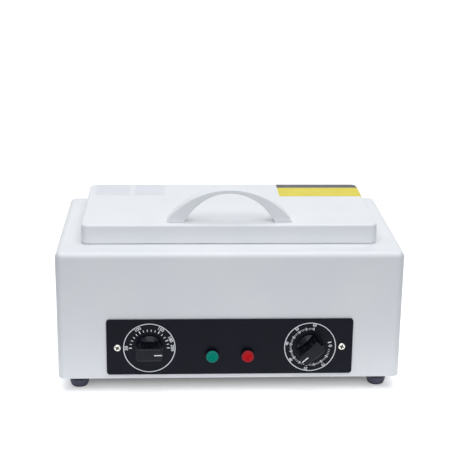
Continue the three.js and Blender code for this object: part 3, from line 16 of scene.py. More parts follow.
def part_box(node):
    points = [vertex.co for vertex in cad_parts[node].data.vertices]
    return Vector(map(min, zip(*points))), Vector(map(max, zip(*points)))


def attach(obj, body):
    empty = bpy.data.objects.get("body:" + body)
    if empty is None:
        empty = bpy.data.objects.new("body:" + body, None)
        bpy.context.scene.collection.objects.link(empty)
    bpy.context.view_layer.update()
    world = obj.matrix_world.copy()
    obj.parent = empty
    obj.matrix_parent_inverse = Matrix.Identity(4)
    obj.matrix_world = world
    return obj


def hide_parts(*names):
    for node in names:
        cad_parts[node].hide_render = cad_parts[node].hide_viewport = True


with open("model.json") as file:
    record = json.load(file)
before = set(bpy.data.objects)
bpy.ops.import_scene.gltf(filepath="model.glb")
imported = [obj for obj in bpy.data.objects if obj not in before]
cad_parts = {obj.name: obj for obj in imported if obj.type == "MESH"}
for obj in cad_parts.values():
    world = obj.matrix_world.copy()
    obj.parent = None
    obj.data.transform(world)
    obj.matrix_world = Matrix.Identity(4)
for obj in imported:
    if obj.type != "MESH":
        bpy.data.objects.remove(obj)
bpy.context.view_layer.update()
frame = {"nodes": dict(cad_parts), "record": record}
nodes = frame["nodes"]
MM = 0.001

# %% [markdown]
# ## The camera
# The picture was taken from a little to the left, about 1.3 m away and looking down at
# seventeen degrees, through a long lens that hardly tapers the box. The camera's three axes
# are worked out from its turn, its dip and its small tilt, so its matrix can be written
# straight away.

# %% Place the camera
CAMERA_PLACE = Vector((-0.0525, -1.1877, 0.5114))
CAMERA_TURN = 0.0493
CAMERA_DIP = 0.2989
CAMERA_TILT = 0.0125
FOCAL_PIXELS = 1198.4
IMAGE_WIDTH = 466
SENSOR = 36.0
NEAR_CLIP = 0.01

ahead = Vector((
    math.sin(CAMERA_TURN) * math.cos(CAMERA_DIP),
    math.cos(CAMERA_TURN) * math.cos(CAMERA_DIP),
    -math.sin(CAMERA_DIP),
))
level = Vector((math.cos(CAMERA_TURN), -math.sin(CAMERA_TURN), 0))
over = level.cross(ahead)
across = level * math.cos(CAMERA_TILT) + over * math.sin(CAMERA_TILT)
upward = over * math.cos(CAMERA_TILT) - level * math.sin(CAMERA_TILT)

lens = bpy.data.cameras.new("camera")
lens.sensor_width = SENSOR
lens.lens = FOCAL_PIXELS / IMAGE_WIDTH * SENSOR
lens.clip_start = NEAR_CLIP
camera = bpy.data.objects.new("camera", lens)
scene = bpy.context.scene
scene.collection.objects.link(camera)
axes = Matrix((across, upward, -ahead)).transposed().to_4x4()
camera.matrix_world = Matrix.Translation(CAMERA_PLACE) @ axes
scene.camera = camera
print("camera: lens", round(lens.lens, 2), "mm")

# %% [markdown]
# ## Light, floor and backdrop
# The object stands on white card in a plain white room. A material or a world in Blender can
# do sums of its own, one node to a step. The first helper starts a material, and the others
# write such a sum as one line. The light path tells what kind of ray is asking, which lets
# the room look one way and light the object in another.

# %% Helpers for node trees
def new_finish(name, roughness, metallic=0.0, gloss=0.5):
    """A material with its node tree and its Principled shader."""
    material = bpy.data.materials.new(name)
    material.use_nodes = True
    tree = material.node_tree
    shader = tree.nodes["Principled BSDF"]
    shader.inputs["Roughness"].default_value = roughness
    shader.inputs["Metallic"].default_value = metallic
    shader.inputs["Specular IOR Level"].default_value = gloss
    return material, tree, shader


def sum_of(tree, operation, first, second=0):
    """One step of arithmetic on two sockets or numbers."""
    step = tree.nodes.new("ShaderNodeMath")
    step.operation = operation
    for socket, value in zip(step.inputs, (first, second)):
        if isinstance(value, (int, float)):
            socket.default_value = value
        else:
            tree.links.new(value, socket)
    return step.outputs[0]


def ramp(tree, value, start, end, low, high, kind="SMOOTHSTEP"):
    """A step of value, soft or straight, from low at start to high at end."""
    step = tree.nodes.new("ShaderNodeMapRange")
    step.interpolation_type = kind
    for socket, amount in zip(("From Min", "From Max", "To Min", "To Max"), (start, end, low, high)):
        step.inputs[socket].default_value = amount
    tree.links.new(value, step.inputs["Value"])
    return step.outputs["Result"]


def blend(tree, factor, target, first, second):
    """Feeds target with a mix of two colours, and returns the node that mixes them."""
    mix = tree.nodes.new("ShaderNodeMix")
    mix.data_type = "RGBA"
    mix.inputs["A"].default_value = (*first, 1)
    mix.inputs["B"].default_value = (*second, 1)
    tree.links.new(factor, mix.inputs["Factor"])
    tree.links.new(mix.outputs["Result"], target)
    return mix


def coordinate(tree, axis, kind="Object"):
    """One axis of the point that is shaded, or of the way a ray goes in a world."""
    place = tree.nodes.new("ShaderNodeTexCoord")
    split = tree.nodes.new("ShaderNodeSeparateXYZ")
    tree.links.new(place.outputs[kind], split.inputs[0])
    return split.outputs[axis]


def seen_directly(tree):
    """1 where the camera, a gloss or a lens looks, 0 where a surface is being lit."""
    ray = tree.nodes.new("ShaderNodeLightPath")
    either = sum_of(tree, "MAXIMUM", ray.outputs["Is Camera Ray"], ray.outputs["Is Glossy Ray"])
    return sum_of(tree, "MAXIMUM", either, ray.outputs["Is Transmission Ray"])


print("helpers for node trees ready")

# %% [markdown]
# The room is plain white where the camera, a gloss or a lens looks at it, and dimmer and a
# little blue where it lights the object, so that white paint keeps its shade. One world with
# a mix of two colours does this, where a built room would have needed walls and lamps.

# %% Light the room
ROOM_LIGHT = 0.28
ROOM_COLOUR = (0.82, 0.96, 1.10)

scene.view_settings.view_transform = "Standard"
room = bpy.data.worlds.new("white_room")
scene.world = room
room.use_nodes = True
tree = room.node_tree
background = tree.nodes["Background"]
dim = [ROOM_LIGHT * value for value in ROOM_COLOUR]
blend(tree, seen_directly(tree), background.inputs["Color"], dim, (1, 1, 1))
print("room light:", ROOM_LIGHT)

# %% [markdown]
# White on white needs something dark to show its edges. Dark screens stand to the left and
# right, and only the camera looks past them. They are no more than a dimmer world towards
# the two sides, so they throw no shadow.

# %% Put up the side screens
SCREEN_FROM, SCREEN_TO = 0.70, 0.92
SCREEN_LIGHT = 0.30

sideways = sum_of(tree, "ABSOLUTE", coordinate(tree, "X", "Generated"))
screens = ramp(tree, sideways, SCREEN_FROM, SCREEN_TO, 1.0, SCREEN_LIGHT)
straight = tree.nodes.new("ShaderNodeLightPath")
strength = sum_of(tree, "MAXIMUM", screens, straight.outputs["Is Camera Ray"])
tree.links.new(strength, background.inputs["Strength"])
print("screens:", SCREEN_LIGHT, "of the room's light")

# %% [markdown]
# Three flat lamps do the rest. The softbox hangs above and in front, so the top faces are
# nearly white and the front is a little greyer. The long narrow strip overhead, a little
# behind the box, draws the thin bright line along the front top bend. The weak fill stands
# low in front and keeps the front face even.

# %% Hang the lamps
AIM = Vector((0, 0, 0.08))
LAMPS = {
    "softbox": (12.9, (1.4, 1.4), Vector((0.02, -0.63, 1.54))),
    "strip": (6.5, (1.8, 0.22), Vector((0, 0.33, 1.61))),
    "front_fill": (4.7, (1.2, 1.2), Vector((0, -1.95, 0.62))),
}

for name, (watts, size, place) in LAMPS.items():
    lamp = bpy.data.lights.new(name, "AREA")
    lamp.shape = "RECTANGLE"
    lamp.size, lamp.size_y = size
    lamp.energy = watts
    light = bpy.data.objects.new(name, lamp)
    scene.collection.objects.link(light)
    light.location = place
    light.rotation_euler = (AIM - place).to_track_quat("-Z", "Y").to_euler()
    print(name, watts, "W")

# %% [markdown]
# The card is one wide quad. Its colour and its glow both follow the distance from the edge
# of the box above it. The glow, seen by the camera and by gloss, lifts the open card to pure
# white, fades under the box, where the shadow is, and grows far out, where the lamps hardly
# reach. Under the box the card's own colour is darker too, a painted shadow over the real one.
# The card bounces most of its light up from close by, and a narrow band beside the box also
# glows at it, so the lower edges of the box are the brighter ones.

# %% Lay the floor
FLOOR_SIZE = 12.0
HALF_WIDTH, HALF_DEPTH, MIDDLE_Y = 0.170, 0.100, 0.008
PAPER_ROUGHNESS, PAPER_GLOSS = 0.9, 0.1
GLOW_FROM, GLOW_TO = -0.050, 0.030
GLOW_LOW, GLOW_HIGH = 0.05, 0.85
FAR_FROM, FAR_TO, FAR_GLOW = 0.2, 1.2, 0.16
BOUNCE_FROM, BOUNCE_TO = 0.00, 0.34
BOUNCE_NEAR, BOUNCE_FAR = 0.95, 0.28
SHADE_FROM, SHADE_TO = -0.060, 0.010
SHADE_LOW = 0.15
KICK_FROM, KICK_TO, KICK = 0.015, 0.070, 0.34

card, tree, paper = new_finish("white_card", PAPER_ROUGHNESS, gloss=PAPER_GLOSS)
paper.inputs["Emission Color"].default_value = (1, 1, 1, 1)

aside = sum_of(tree, "SUBTRACT", sum_of(tree, "ABSOLUTE", coordinate(tree, "X")), HALF_WIDTH)
along = sum_of(tree, "ABSOLUTE", sum_of(tree, "SUBTRACT", coordinate(tree, "Y"), MIDDLE_Y))
outside = sum_of(tree, "MAXIMUM", aside, sum_of(tree, "SUBTRACT", along, HALF_DEPTH))
near_glow = ramp(tree, outside, GLOW_FROM, GLOW_TO, GLOW_LOW, GLOW_HIGH)
glow = sum_of(tree, "ADD", near_glow, ramp(tree, outside, FAR_FROM, FAR_TO, 0, FAR_GLOW))
bounce = ramp(tree, outside, BOUNCE_FROM, BOUNCE_TO, BOUNCE_NEAR, BOUNCE_FAR)
# Painted shadow: under the box the card's own colour drops to SHADE_LOW.
painted_shadow = ramp(tree, outside, SHADE_FROM, SHADE_TO, SHADE_LOW, 1)
kicker = ramp(tree, outside, KICK_FROM, KICK_TO, KICK, 0)
shown = sum_of(tree, "MAXIMUM", kicker, seen_directly(tree))
tree.links.new(sum_of(tree, "MULTIPLY", bounce, painted_shadow), paper.inputs["Base Color"])
tree.links.new(sum_of(tree, "MULTIPLY", glow, shown), paper.inputs["Emission Strength"])

bm = bmesh.new()
bmesh.ops.create_grid(bm, x_segments=1, y_segments=1, size=FLOOR_SIZE / 2)
floor_mesh = bpy.data.meshes.new("floor")
bm.to_mesh(floor_mesh)
bm.free()
floor = bpy.data.objects.new("floor", floor_mesh)
floor_mesh.materials.append(card)
scene.collection.objects.link(floor)
print("floor:", FLOOR_SIZE, "m wide")

# %% [markdown]
# ## How a finish is made
# Every finish starts from the Principled shader and reads Object coordinates, so a pattern
# stays on its piece when a joint moves it. Pictures of paint or steel would repeat, so small
# helpers make each finish from noise instead: a grain that can be stretched, a colour that
# drifts between two tones along that grain, and a relief that turns it into small bumps.

# %% Helpers for the finishes
def grain(tree, scale, detail=3.0, stretch=(1, 1, 1)):
    """Noise of so many cells to the metre, longer along an axis where stretch is small."""
    place = tree.nodes.new("ShaderNodeTexCoord")
    mapping = tree.nodes.new("ShaderNodeMapping")
    mapping.inputs["Scale"].default_value = stretch
    noise = tree.nodes.new("ShaderNodeTexNoise")
    noise.inputs["Scale"].default_value = scale
    noise.inputs["Detail"].default_value = detail
    tree.links.new(place.outputs["Object"], mapping.inputs["Vector"])
    tree.links.new(mapping.outputs["Vector"], noise.inputs["Vector"])
    return noise.outputs["Fac"]


def drift(tree, factor, target, dark, light, low=0.3, high=0.7):
    """Feeds target with a colour or a number that runs from dark to light along factor."""
    if isinstance(dark, tuple):
        share = ramp(tree, factor, low, high, 0, 1, "LINEAR")
        return blend(tree, share, target, dark, light)
    return tree.links.new(ramp(tree, factor, low, high, dark, light, "LINEAR"), target)


def relief(tree, shader, factor, depth, strength):
    """Small bumps of the given depth in metres."""
    bump = tree.nodes.new("ShaderNodeBump")
    bump.inputs["Strength"].default_value = strength
    bump.inputs["Distance"].default_value = depth
    tree.links.new(factor, bump.inputs["Height"])
    tree.links.new(bump.outputs["Normal"], shader.inputs["Normal"])


def tone(red, green, blue):
    """A colour as a screen shows it, 0 to 255, turned into the light it stands for."""
    def linear(value):
        value = value / 255
        return value / 12.92 if value <= 0.04045 else ((value + 0.055) / 1.055) ** 2.4
    return linear(red), linear(green), linear(blue)


print("finish helpers ready")

# %% [markdown]
# ## Paint, plastic and print
# Powder coat is baked from dust, so it is never mirror flat: it has the shallow ripple
# called orange peel, a few millimetres from crest to crest, under a thin clear coat. The
# black panel and the knobs are darker and smoother, and handling has left their gloss a
# little uneven.

# %% Painted and moulded finishes
COAT_WEIGHT, COAT_ROUGHNESS = 0.35, 0.16
# Cells to the metre of the clouds in a colour and in a gloss, and how far the gloss varies
COAT_CLOUD, COAT_SHEEN, COAT_SPREAD = 14, 60, 0.05
MOULD_CLOUD, MOULD_SHEEN = 35, 140
MOULD_SMOOTHER, MOULD_ROUGHER = 0.06, 0.08
# Cells to the metre, depth in metres and strength
ORANGE_PEEL = (420, 0.00012, 0.35)
MOULD_STRENGTH = 0.4
KNOB_GLOSS_TINT = (0.86, 0.86, 1.0, 1)


def powder_coat(name, dark, light, roughness):
    """Baked paint: a faint cloudiness, an uneven gloss and the ripple of orange peel."""
    material, tree, shader = new_finish(name, roughness)
    shader.inputs["Coat Weight"].default_value = COAT_WEIGHT
    shader.inputs["Coat Roughness"].default_value = COAT_ROUGHNESS
    drift(tree, grain(tree, COAT_CLOUD, 2), shader.inputs["Base Color"], dark, light)
    smooth, rough = roughness - COAT_SPREAD, roughness + COAT_SPREAD
    drift(tree, grain(tree, COAT_SHEEN, 2), shader.inputs["Roughness"], smooth, rough)
    scale, depth, strength = ORANGE_PEEL
    relief(tree, shader, grain(tree, scale, 1), depth, strength)
    return material


def moulded(name, dark, light, roughness, texture=900, depth=0.00005, gloss=0.5):
    """Plastic, rubber or print: texture cells to the metre, and their depth in metres."""
    material, tree, shader = new_finish(name, roughness, gloss=gloss)
    drift(tree, grain(tree, MOULD_CLOUD, 2), shader.inputs["Base Color"], dark, light)
    smooth, rough = roughness - MOULD_SMOOTHER, roughness + MOULD_ROUGHER
    drift(tree, grain(tree, MOULD_SHEEN), shader.inputs["Roughness"], smooth, rough)
    relief(tree, shader, grain(tree, texture, 2), depth, MOULD_STRENGTH)
    return material


white_paint = powder_coat("white_powder_coat", tone(237, 238, 241), tone(242, 242, 244), 0.42)
panel_black = moulded("panel_black", tone(10, 11, 24), tone(14, 14, 29), 0.34, 1400, 0.00002, 0.12)
knob_black = moulded("knob_black", tone(2, 2, 12), tone(5, 5, 17), 0.22, gloss=0.25)
knob_shader = knob_black.node_tree.nodes["Principled BSDF"]
knob_shader.inputs["Specular Tint"].default_value = KNOB_GLOSS_TINT
inlet_black = moulded("inlet_black", tone(24, 24, 27), tone(30, 30, 33), 0.45)
ink_white = moulded("ink_white", tone(246, 246, 250), tone(252, 252, 254), 0.5, 1600, 0.00001)
print("painted and moulded finishes:", 5)

# %% [markdown]
# A rubber foot is dull. Its rubber is palest at a height of 4.8 mm and darker above and below
# it. This is painted shade: the top of the foot lies in the box's shadow, and the rubber also
# darkens towards the floor. The dark tone is mixed over the grain that every moulded finish
# has, by the distance from that height.

# %% Rubber of the feet
FOOT_SHADE_TONE = tone(14, 14, 24)
FOOT_PALEST = 4.8 * MM
FOOT_SHADE_FROM, FOOT_SHADE_TO = 2.6 * MM, 4.4 * MM

foot_rubber = moulded("foot_rubber", tone(74, 74, 92), tone(86, 85, 104), 0.62, 700, 0.00008, 0.3)
tree = foot_rubber.node_tree
target = tree.nodes["Principled BSDF"].inputs["Base Color"]
rubber = target.links[0].from_node
# Painted shade: the rubber darkens above and below its palest height.
away = sum_of(tree, "ABSOLUTE", sum_of(tree, "SUBTRACT", coordinate(tree, "Z"), FOOT_PALEST))
foot_painted_shade = drift(tree, away, target, FOOT_SHADE_TONE, FOOT_SHADE_TONE, FOOT_SHADE_FROM, FOOT_SHADE_TO)
tree.links.new(rubber.outputs["Result"], foot_painted_shade.inputs["A"])
print("rubber palest at", FOOT_PALEST / MM, "mm")

# %% [markdown]
# ## Metals
# A drawn stainless pan keeps fine lines along the way it was rubbed down, so its grain is
# stretched along X. Zinc plating is brighter and cloudy, the panel's screws are brighter
# still, and turned brass is warm with tight rings that show only as a soft streak. One
# helper makes all four.

# %% Metal finishes
ALONG_X, ALONG_Y, EVEN = (0.03, 1, 1), (1, 0.05, 1), (1, 1, 1)
LINE_LOW, LINE_HIGH = 0.35, 0.65
LINE_DEPTH, LINE_STRENGTH = 0.00003, 0.5
METAL_SHEEN, METAL_SMOOTHER, METAL_ROUGHER = 30, 0.05, 0.09


def rubbed_metal(name, dark, light, roughness, stretch, scale=500):
    """Metal whose colour and relief follow the same fine lines."""
    material, tree, shader = new_finish(name, roughness, 1.0)
    lines = grain(tree, scale, 4, stretch)
    drift(tree, lines, shader.inputs["Base Color"], dark, light, LINE_LOW, LINE_HIGH)
    smooth, rough = roughness - METAL_SMOOTHER, roughness + METAL_ROUGHER
    drift(tree, grain(tree, METAL_SHEEN, 2), shader.inputs["Roughness"], smooth, rough)
    relief(tree, shader, lines, LINE_DEPTH, LINE_STRENGTH)
    return material


stainless = rubbed_metal("stainless_rubbed", tone(190, 191, 194), tone(206, 207, 210), 0.30, ALONG_X)
zinc = rubbed_metal("zinc_plating", tone(192, 194, 196), tone(214, 215, 216), 0.33, EVEN, 90)
brass = rubbed_metal("turned_brass", tone(178, 148, 84), tone(200, 170, 100), 0.34, ALONG_Y)
screw_metal = rubbed_metal("screw_metal", tone(222, 220, 212), tone(240, 238, 230), 0.24, EVEN, 200)
print("metal finishes:", 4)

# %% [markdown]
# ## Soft and ceramic finishes
# The wool is matt and fibrous, mica shows flakes, silicone is a satin red rubber and the
# terminal block and switch bodies are glazed. The moulded finish serves for all of them,
# with a coarser or a finer texture.

# %% Finishes for the pieces inside
wool = moulded("mineral_wool", tone(206, 198, 170), tone(228, 222, 200), 0.95, 260, 0.0012)
mica = moulded("pressed_mica", tone(150, 134, 104), tone(186, 172, 140), 0.5, 120, 0.0002)
silicone = moulded("silicone_red", tone(176, 58, 42), tone(198, 70, 52), 0.5, 800, 0.00004)
glazed = moulded("glazed_white", tone(226, 223, 214), tone(238, 236, 228), 0.25, 300, 0.00003)
print("finishes inside:", 4)

# %% [markdown]
# ## Plastic of the pilot lamps
# A lamp's cap is clear coloured plastic over a small glow lamp. Its colour is deepest in the
# middle, and its rim is greyer: a painted reflection of the white room at the cap's edge. The
# colour follows the distance from the cap's own axis. A glass shader would need a lit room
# behind the cap, and mixed tones do the same here.

# %% Lamp plastic
LAMP_ROUGHNESS, LAMP_GLOSS = 0.22, 0.05
SPECKLE = 520
LAMP_TEXTURE, LAMP_DEPTH, LAMP_STRENGTH = 500, 0.00004, 0.3
RIM_REFLECTION_FROM, RIM_REFLECTION_TO = 3.0 * MM, 6.4 * MM


def middle(node):
    """The middle of a solid's box."""
    node_low, node_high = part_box(node)
    return (node_low + node_high) / 2


def from_axis(tree, node):
    """The distance in metres from the axis that runs through a solid along Y."""
    centre = middle(node)
    place = tree.nodes.new("ShaderNodeTexCoord")
    centred = tree.nodes.new("ShaderNodeMapping")
    centred.inputs["Location"].default_value = (-centre.x, 0, -centre.z)
    centred.inputs["Scale"].default_value = (1, 0, 1)
    length = tree.nodes.new("ShaderNodeVectorMath")
    length.operation = "LENGTH"
    tree.links.new(place.outputs["Object"], centred.inputs["Vector"])
    tree.links.new(centred.outputs["Vector"], length.inputs[0])
    return length.outputs["Value"]


def lamp_plastic(name, node, deep, bright, rim):
    """A fine speckle from deep to bright, mixed away from the axis with the rim's tone, a painted
    reflection.
    """
    material, tree, shader = new_finish(name, LAMP_ROUGHNESS, gloss=LAMP_GLOSS)
    target = shader.inputs["Base Color"]
    core = drift(tree, grain(tree, SPECKLE, 2), target, deep, bright)
    # The greyer rim is a painted reflection.
    rim_reflection = drift(tree, from_axis(tree, node), target, deep, rim, RIM_REFLECTION_FROM, RIM_REFLECTION_TO)
    tree.links.new(core.outputs["Result"], rim_reflection.inputs["A"])
    relief(tree, shader, grain(tree, LAMP_TEXTURE, 1), LAMP_DEPTH, LAMP_STRENGTH)
    return material


# The third tone of each lamp is its rim's painted reflection.
lamp_green = lamp_plastic(
    "lamp_green_plastic", "lamp_green_lens", tone(0, 132, 110), tone(0, 168, 144), tone(38, 140, 130),
)
lamp_red = lamp_plastic(
    "lamp_red_plastic", "lamp_red_lens", tone(196, 16, 28), tone(230, 36, 42), tone(164, 52, 60),
)
print("lamp plastics:", 2)

# %% [markdown]
# The record of the part says which material slot each solid has. One table from slot to
# finish dresses them all, save the power inlet, which is of another black plastic.

# %% Dress the solids
finish_of_slot = {
    "white_paint": white_paint,
    "black_panel": panel_black,
    "black_plastic": knob_black,
    "foot_rubber": foot_rubber,
    "stainless_steel": stainless,
    "zinc_plated_steel": zinc,
    "brass": brass,
    "insulating_wool": wool,
    "mica": mica,
    "silicone": silicone,
    "white_ceramic": glazed,
    "green_lens": lamp_green,
    "red_lens": lamp_red,
}
for entry in frame["record"]["subparts"]:
    mesh = nodes[entry["node"]].data
    mesh.materials.clear()
    mesh.materials.append(finish_of_slot[entry["material_slot"]])
nodes["power_inlet"].data.materials[0] = inlet_black

# %% [markdown]
# ## From a bmesh to a finished piece
# Each finer form is shaped at its own place in the frame and then handed over: doubles are
# merged, normals are turned outwards, soft bends are shaded smooth while true edges stay
# crisp, and the piece rides on the body that carries it. Weighted normals keep the broad
# flat faces flat beside their small bends.

# %% Helpers for the pieces
SAME_POINT = 1e-6
FLAT_WEIGHT = 60


def mesh_object(bm, name):
    """Turns a bmesh into an object of the scene, merged and with its normals outwards."""
    bmesh.ops.remove_doubles(bm, verts=bm.verts, dist=SAME_POINT)
    bmesh.ops.recalc_face_normals(bm, faces=bm.faces)
    mesh = bpy.data.meshes.new(name)
    bm.to_mesh(mesh)
    bm.free()
    obj = bpy.data.objects.new(name, mesh)
    scene.collection.objects.link(obj)
    return obj


def worked_out(obj):
    """A new mesh of what an object's modifiers or letters come to."""
    bpy.context.view_layer.update()
    graph = bpy.context.evaluated_depsgraph_get()
    return bpy.data.meshes.new_from_object(obj.evaluated_get(graph))


def applied(obj):
    """Makes the object's modifiers part of its mesh."""
    mesh = worked_out(obj)
    obj.modifiers.clear()
    old = obj.data
    obj.data = mesh
    bpy.data.meshes.remove(old)
    return obj


def carve(obj, *tools, operation="DIFFERENCE"):
    """Cuts each tool out of obj, or joins it on, and takes the tool away."""
    for tool in tools:
        change = obj.modifiers.new("carve", "BOOLEAN")
        change.operation = operation
        change.solver = "EXACT"
        change.object = tool
    applied(obj)
    for tool in tools:
        bpy.data.objects.remove(tool)
    return obj


def hand_over(obj, finish, body, slot, *replaced, crease=32):
    """The last step of every piece: shading, finish and the body that carries it. The slot is not
    used.
    """
    mesh = obj.data
    mesh.materials.clear()
    mesh.materials.append(finish)
    mesh.shade_smooth()
    mesh.set_sharp_from_angle(angle=math.radians(crease))
    weighted = obj.modifiers.new("even_faces", "WEIGHTED_NORMAL")
    weighted.keep_sharp = True
    weighted.weight = FLAT_WEIGHT
    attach(obj, body)
    if replaced:
        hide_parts(*replaced)
    print(obj.name, "faces", len(mesh.polygons), "on", body)
    return obj


print("helpers for the pieces ready")

# %% [markdown]
# A sheet metal box with rounded uprights and a rounded top bend is a cube that is bevelled
# twice: first its four upright edges, then the rim of its top face. A plain block is the
# same cube left as it is, and a round bar is a cone with two equal ends.

# %% Boxes, blocks and round bars
LEVEL = 1e-7
BAR_SIDES = 48


def block(size, centre):
    """A plain block of the given size in metres."""
    bm = bmesh.new()
    bmesh.ops.create_cube(bm, size=1)
    bmesh.ops.scale(bm, vec=size, verts=bm.verts)
    bmesh.ops.translate(bm, vec=centre, verts=bm.verts)
    return bm


def soften(bm, edges, radius, segments):
    """Rounds the given edges of a bmesh."""
    bmesh.ops.bevel(
        bm, geom=edges, offset=radius, offset_type="OFFSET", segments=segments,
        profile=0.5, affect="EDGES", material=-1,
    )


def rounded_box(size, low_centre, corner, top=0.0, bottom=0.0, steps=12, bend_steps=8):
    """size in metres; low_centre is the middle of its bottom face."""
    bm = block(size, (0, 0, size[2] / 2))
    uprights = [e for e in bm.edges if abs(e.verts[0].co.z - e.verts[1].co.z) > size[2] / 2]
    soften(bm, uprights, corner, steps)
    for height, radius in ((size[2], top), (0, bottom)):
        if radius:
            rim = [e for e in bm.edges if all(abs(v.co.z - height) < LEVEL for v in e.verts)]
            soften(bm, rim, radius, bend_steps)
    bmesh.ops.translate(bm, vec=low_centre, verts=bm.verts)
    return bm


def turn_flat(bm, angle, verts):
    """Turns vertices round Z."""
    bmesh.ops.rotate(bm, cent=(0, 0, 0), matrix=Matrix.Rotation(angle, 3, "Z"), verts=verts)


def drum(radius, start, end, matrix=Matrix()):
    """A round bar between two points, shaped along Z and turned by the matrix."""
    bm = bmesh.new()
    length = (Vector(end) - Vector(start)).length
    bmesh.ops.create_cone(
        bm, cap_ends=True, segments=BAR_SIDES, radius1=radius, radius2=radius, depth=length,
    )
    bmesh.ops.transform(bm, matrix=matrix, verts=bm.verts)
    bmesh.ops.translate(bm, vec=(Vector(start) + Vector(end)) / 2, verts=bm.verts)
    return bm


# Turns a form that stands along Z so that its top points to the front, along -Y
TO_FRONT = Matrix.Rotation(math.pi / 2, 4, "X")
print("helpers for boxes and bars ready")

# %% [markdown]
# ## The housing
# The shell is one sheet of steel, 1 mm thick, with 6 mm bends round the top and 7 mm up the
# corners, and at its foot it turns in as a flat lip. Subdividing one surface would swell its
# flat walls, so the shell is a rounded box with boxes cut out of it: the room inside, the
# recess under the lip, the mouth that the base plate closes, and the hole for the tank.

# %% Housing shell
low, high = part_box("housing_shell")
SHEET = 1.0 * MM
SHELL_WIDTH = high.x - low.x
SHELL_DEPTH = high.y - low.y
SHELL_HEIGHT = high.z - low.z
CENTRE_Y = (low.y + high.y) / 2
STAND, TOP, FRONT, BACK = low.z, high.z, low.y, high.y
UPRIGHT = 7.0 * MM
BEND = 6.0 * MM
FOOT_BEND = 1.2 * MM
LIP = 2.25 * MM
LIP_WIDTH = 26.0 * MM
TANK_HOLE = (254.6 * MM, 124.6 * MM)
TANK_HOLE_CORNER = 16.3 * MM
PAST = 2.0 * MM


def housing_box(name, inset, foot, height, corner, **soft):
    """A rounded box in the middle of the shell, with its sides inset from the shell's."""
    size = (SHELL_WIDTH - 2 * inset, SHELL_DEPTH - 2 * inset, height)
    return mesh_object(rounded_box(size, (0, CENTRE_Y, foot), corner, **soft), name)


shell = housing_box(
    "housing_skin", 0, STAND, SHELL_HEIGHT, UPRIGHT, top=BEND, bottom=FOOT_BEND, steps=14,
    bend_steps=12,
)
inside = housing_box(
    "inside", SHEET, STAND + LIP, SHELL_HEIGHT - SHEET - LIP, UPRIGHT - SHEET, top=BEND - SHEET,
)
recess = housing_box("recess", FOOT_BEND, STAND - PAST, LIP - SHEET + PAST, UPRIGHT - FOOT_BEND)
mouth = housing_box("mouth", SHEET + LIP_WIDTH, STAND - PAST, LIP + 2 * PAST, UPRIGHT - SHEET)
tank_hole = mesh_object(rounded_box(
    (*TANK_HOLE, SHEET + 2 * PAST), (0, middle("chamber_tank").y, TOP - SHEET - PAST),
    TANK_HOLE_CORNER,
), "tank_hole")
carve(shell, inside, recess, mouth, tank_hole)
print("shell of", SHEET / MM, "mm sheet")

# %% [markdown]
# Seven slots let the warm air out at the back, beside the hole for the power inlet. A slot
# could be a block with a round bar at each end, but a rounded box whose corners are almost
# half its width, laid on its back, is one tool instead of three.

# %% Tools for the openings at the back
VENT = (3.0 * MM, 22.0 * MM)
VENT_ROUND = 0.499
VENT_STEPS = 8
VENT_PITCH = 9.0 * MM
VENT_COUNT = 7
VENT_PLACE = (70.0 * MM, 52.0 * MM)
INLET_HOLE = (29.7 * MM, 21.7 * MM)

tools = []
for index in range(VENT_COUNT):
    bm = rounded_box((*VENT, SHEET + 2 * PAST), (0, 0, 0), VENT[0] * VENT_ROUND, steps=VENT_STEPS)
    bmesh.ops.transform(bm, matrix=TO_FRONT, verts=bm.verts)
    across_back = VENT_PLACE[0] + (index - (VENT_COUNT - 1) / 2) * VENT_PITCH
    bmesh.ops.translate(bm, vec=(across_back, BACK + PAST, VENT_PLACE[1]), verts=bm.verts)
    tools.append(mesh_object(bm, "vent"))
inlet = middle("power_inlet")
inlet_size = (INLET_HOLE[0], SHEET + 2 * PAST, INLET_HOLE[1])
tools.append(mesh_object(block(inlet_size, (inlet.x, BACK, inlet.z)), "inlet_hole"))
print("openings at the back:", len(tools))

# %% [markdown]
# The shafts, the lamp holders and the screws pass through round holes that sit where those
# solids sit, so their places are read from the solids. The control panel covers the holes in
# front. All the tools are used in one go.

# %% Cut the openings
SHAFT_HOLE = 3.35 * MM
LAMP_HOLE = 5.35 * MM
PANEL_SCREW_HOLE = 2.25 * MM
INLET_SCREW_HOLE = 1.85 * MM
BASE_SCREW_HOLE = 2.35 * MM
FEET = ("front_left", "front_right", "rear_left", "rear_right")

for radius, face, *pair in (
    (SHAFT_HOLE, FRONT, "thermostat_shaft", "timer_shaft"),
    (LAMP_HOLE, FRONT, "lamp_green_body", "lamp_red_body"),
    (PANEL_SCREW_HOLE, FRONT, "panel_screw_left", "panel_screw_right"),
    (INLET_SCREW_HOLE, BACK, "inlet_screw_left", "inlet_screw_right"),
):
    for at in map(middle, pair):
        bm = drum(radius, (at.x, face - PAST, at.z), (at.x, face + PAST, at.z), TO_FRONT)
        tools.append(mesh_object(bm, "hole"))
for place in FEET:
    at = middle("foot_" + place)
    bm = drum(BASE_SCREW_HOLE, (at.x, at.y, STAND), (at.x, at.y, STAND + LIP + PAST))
    tools.append(mesh_object(bm, "hole"))
carve(shell, *tools)
hand_over(shell, white_paint, "housing", "white_paint", "housing_shell", crease=28)

# %% [markdown]
# ## The lid and its arched handle
# The lid is a shallow pan, folded from the same sheet with tighter corners. Like the shell it
# is a rounded box with the room inside cut out of it, which keeps the sheet 1 mm thick in the
# corners too. Two holes in its top take the handle's screws.

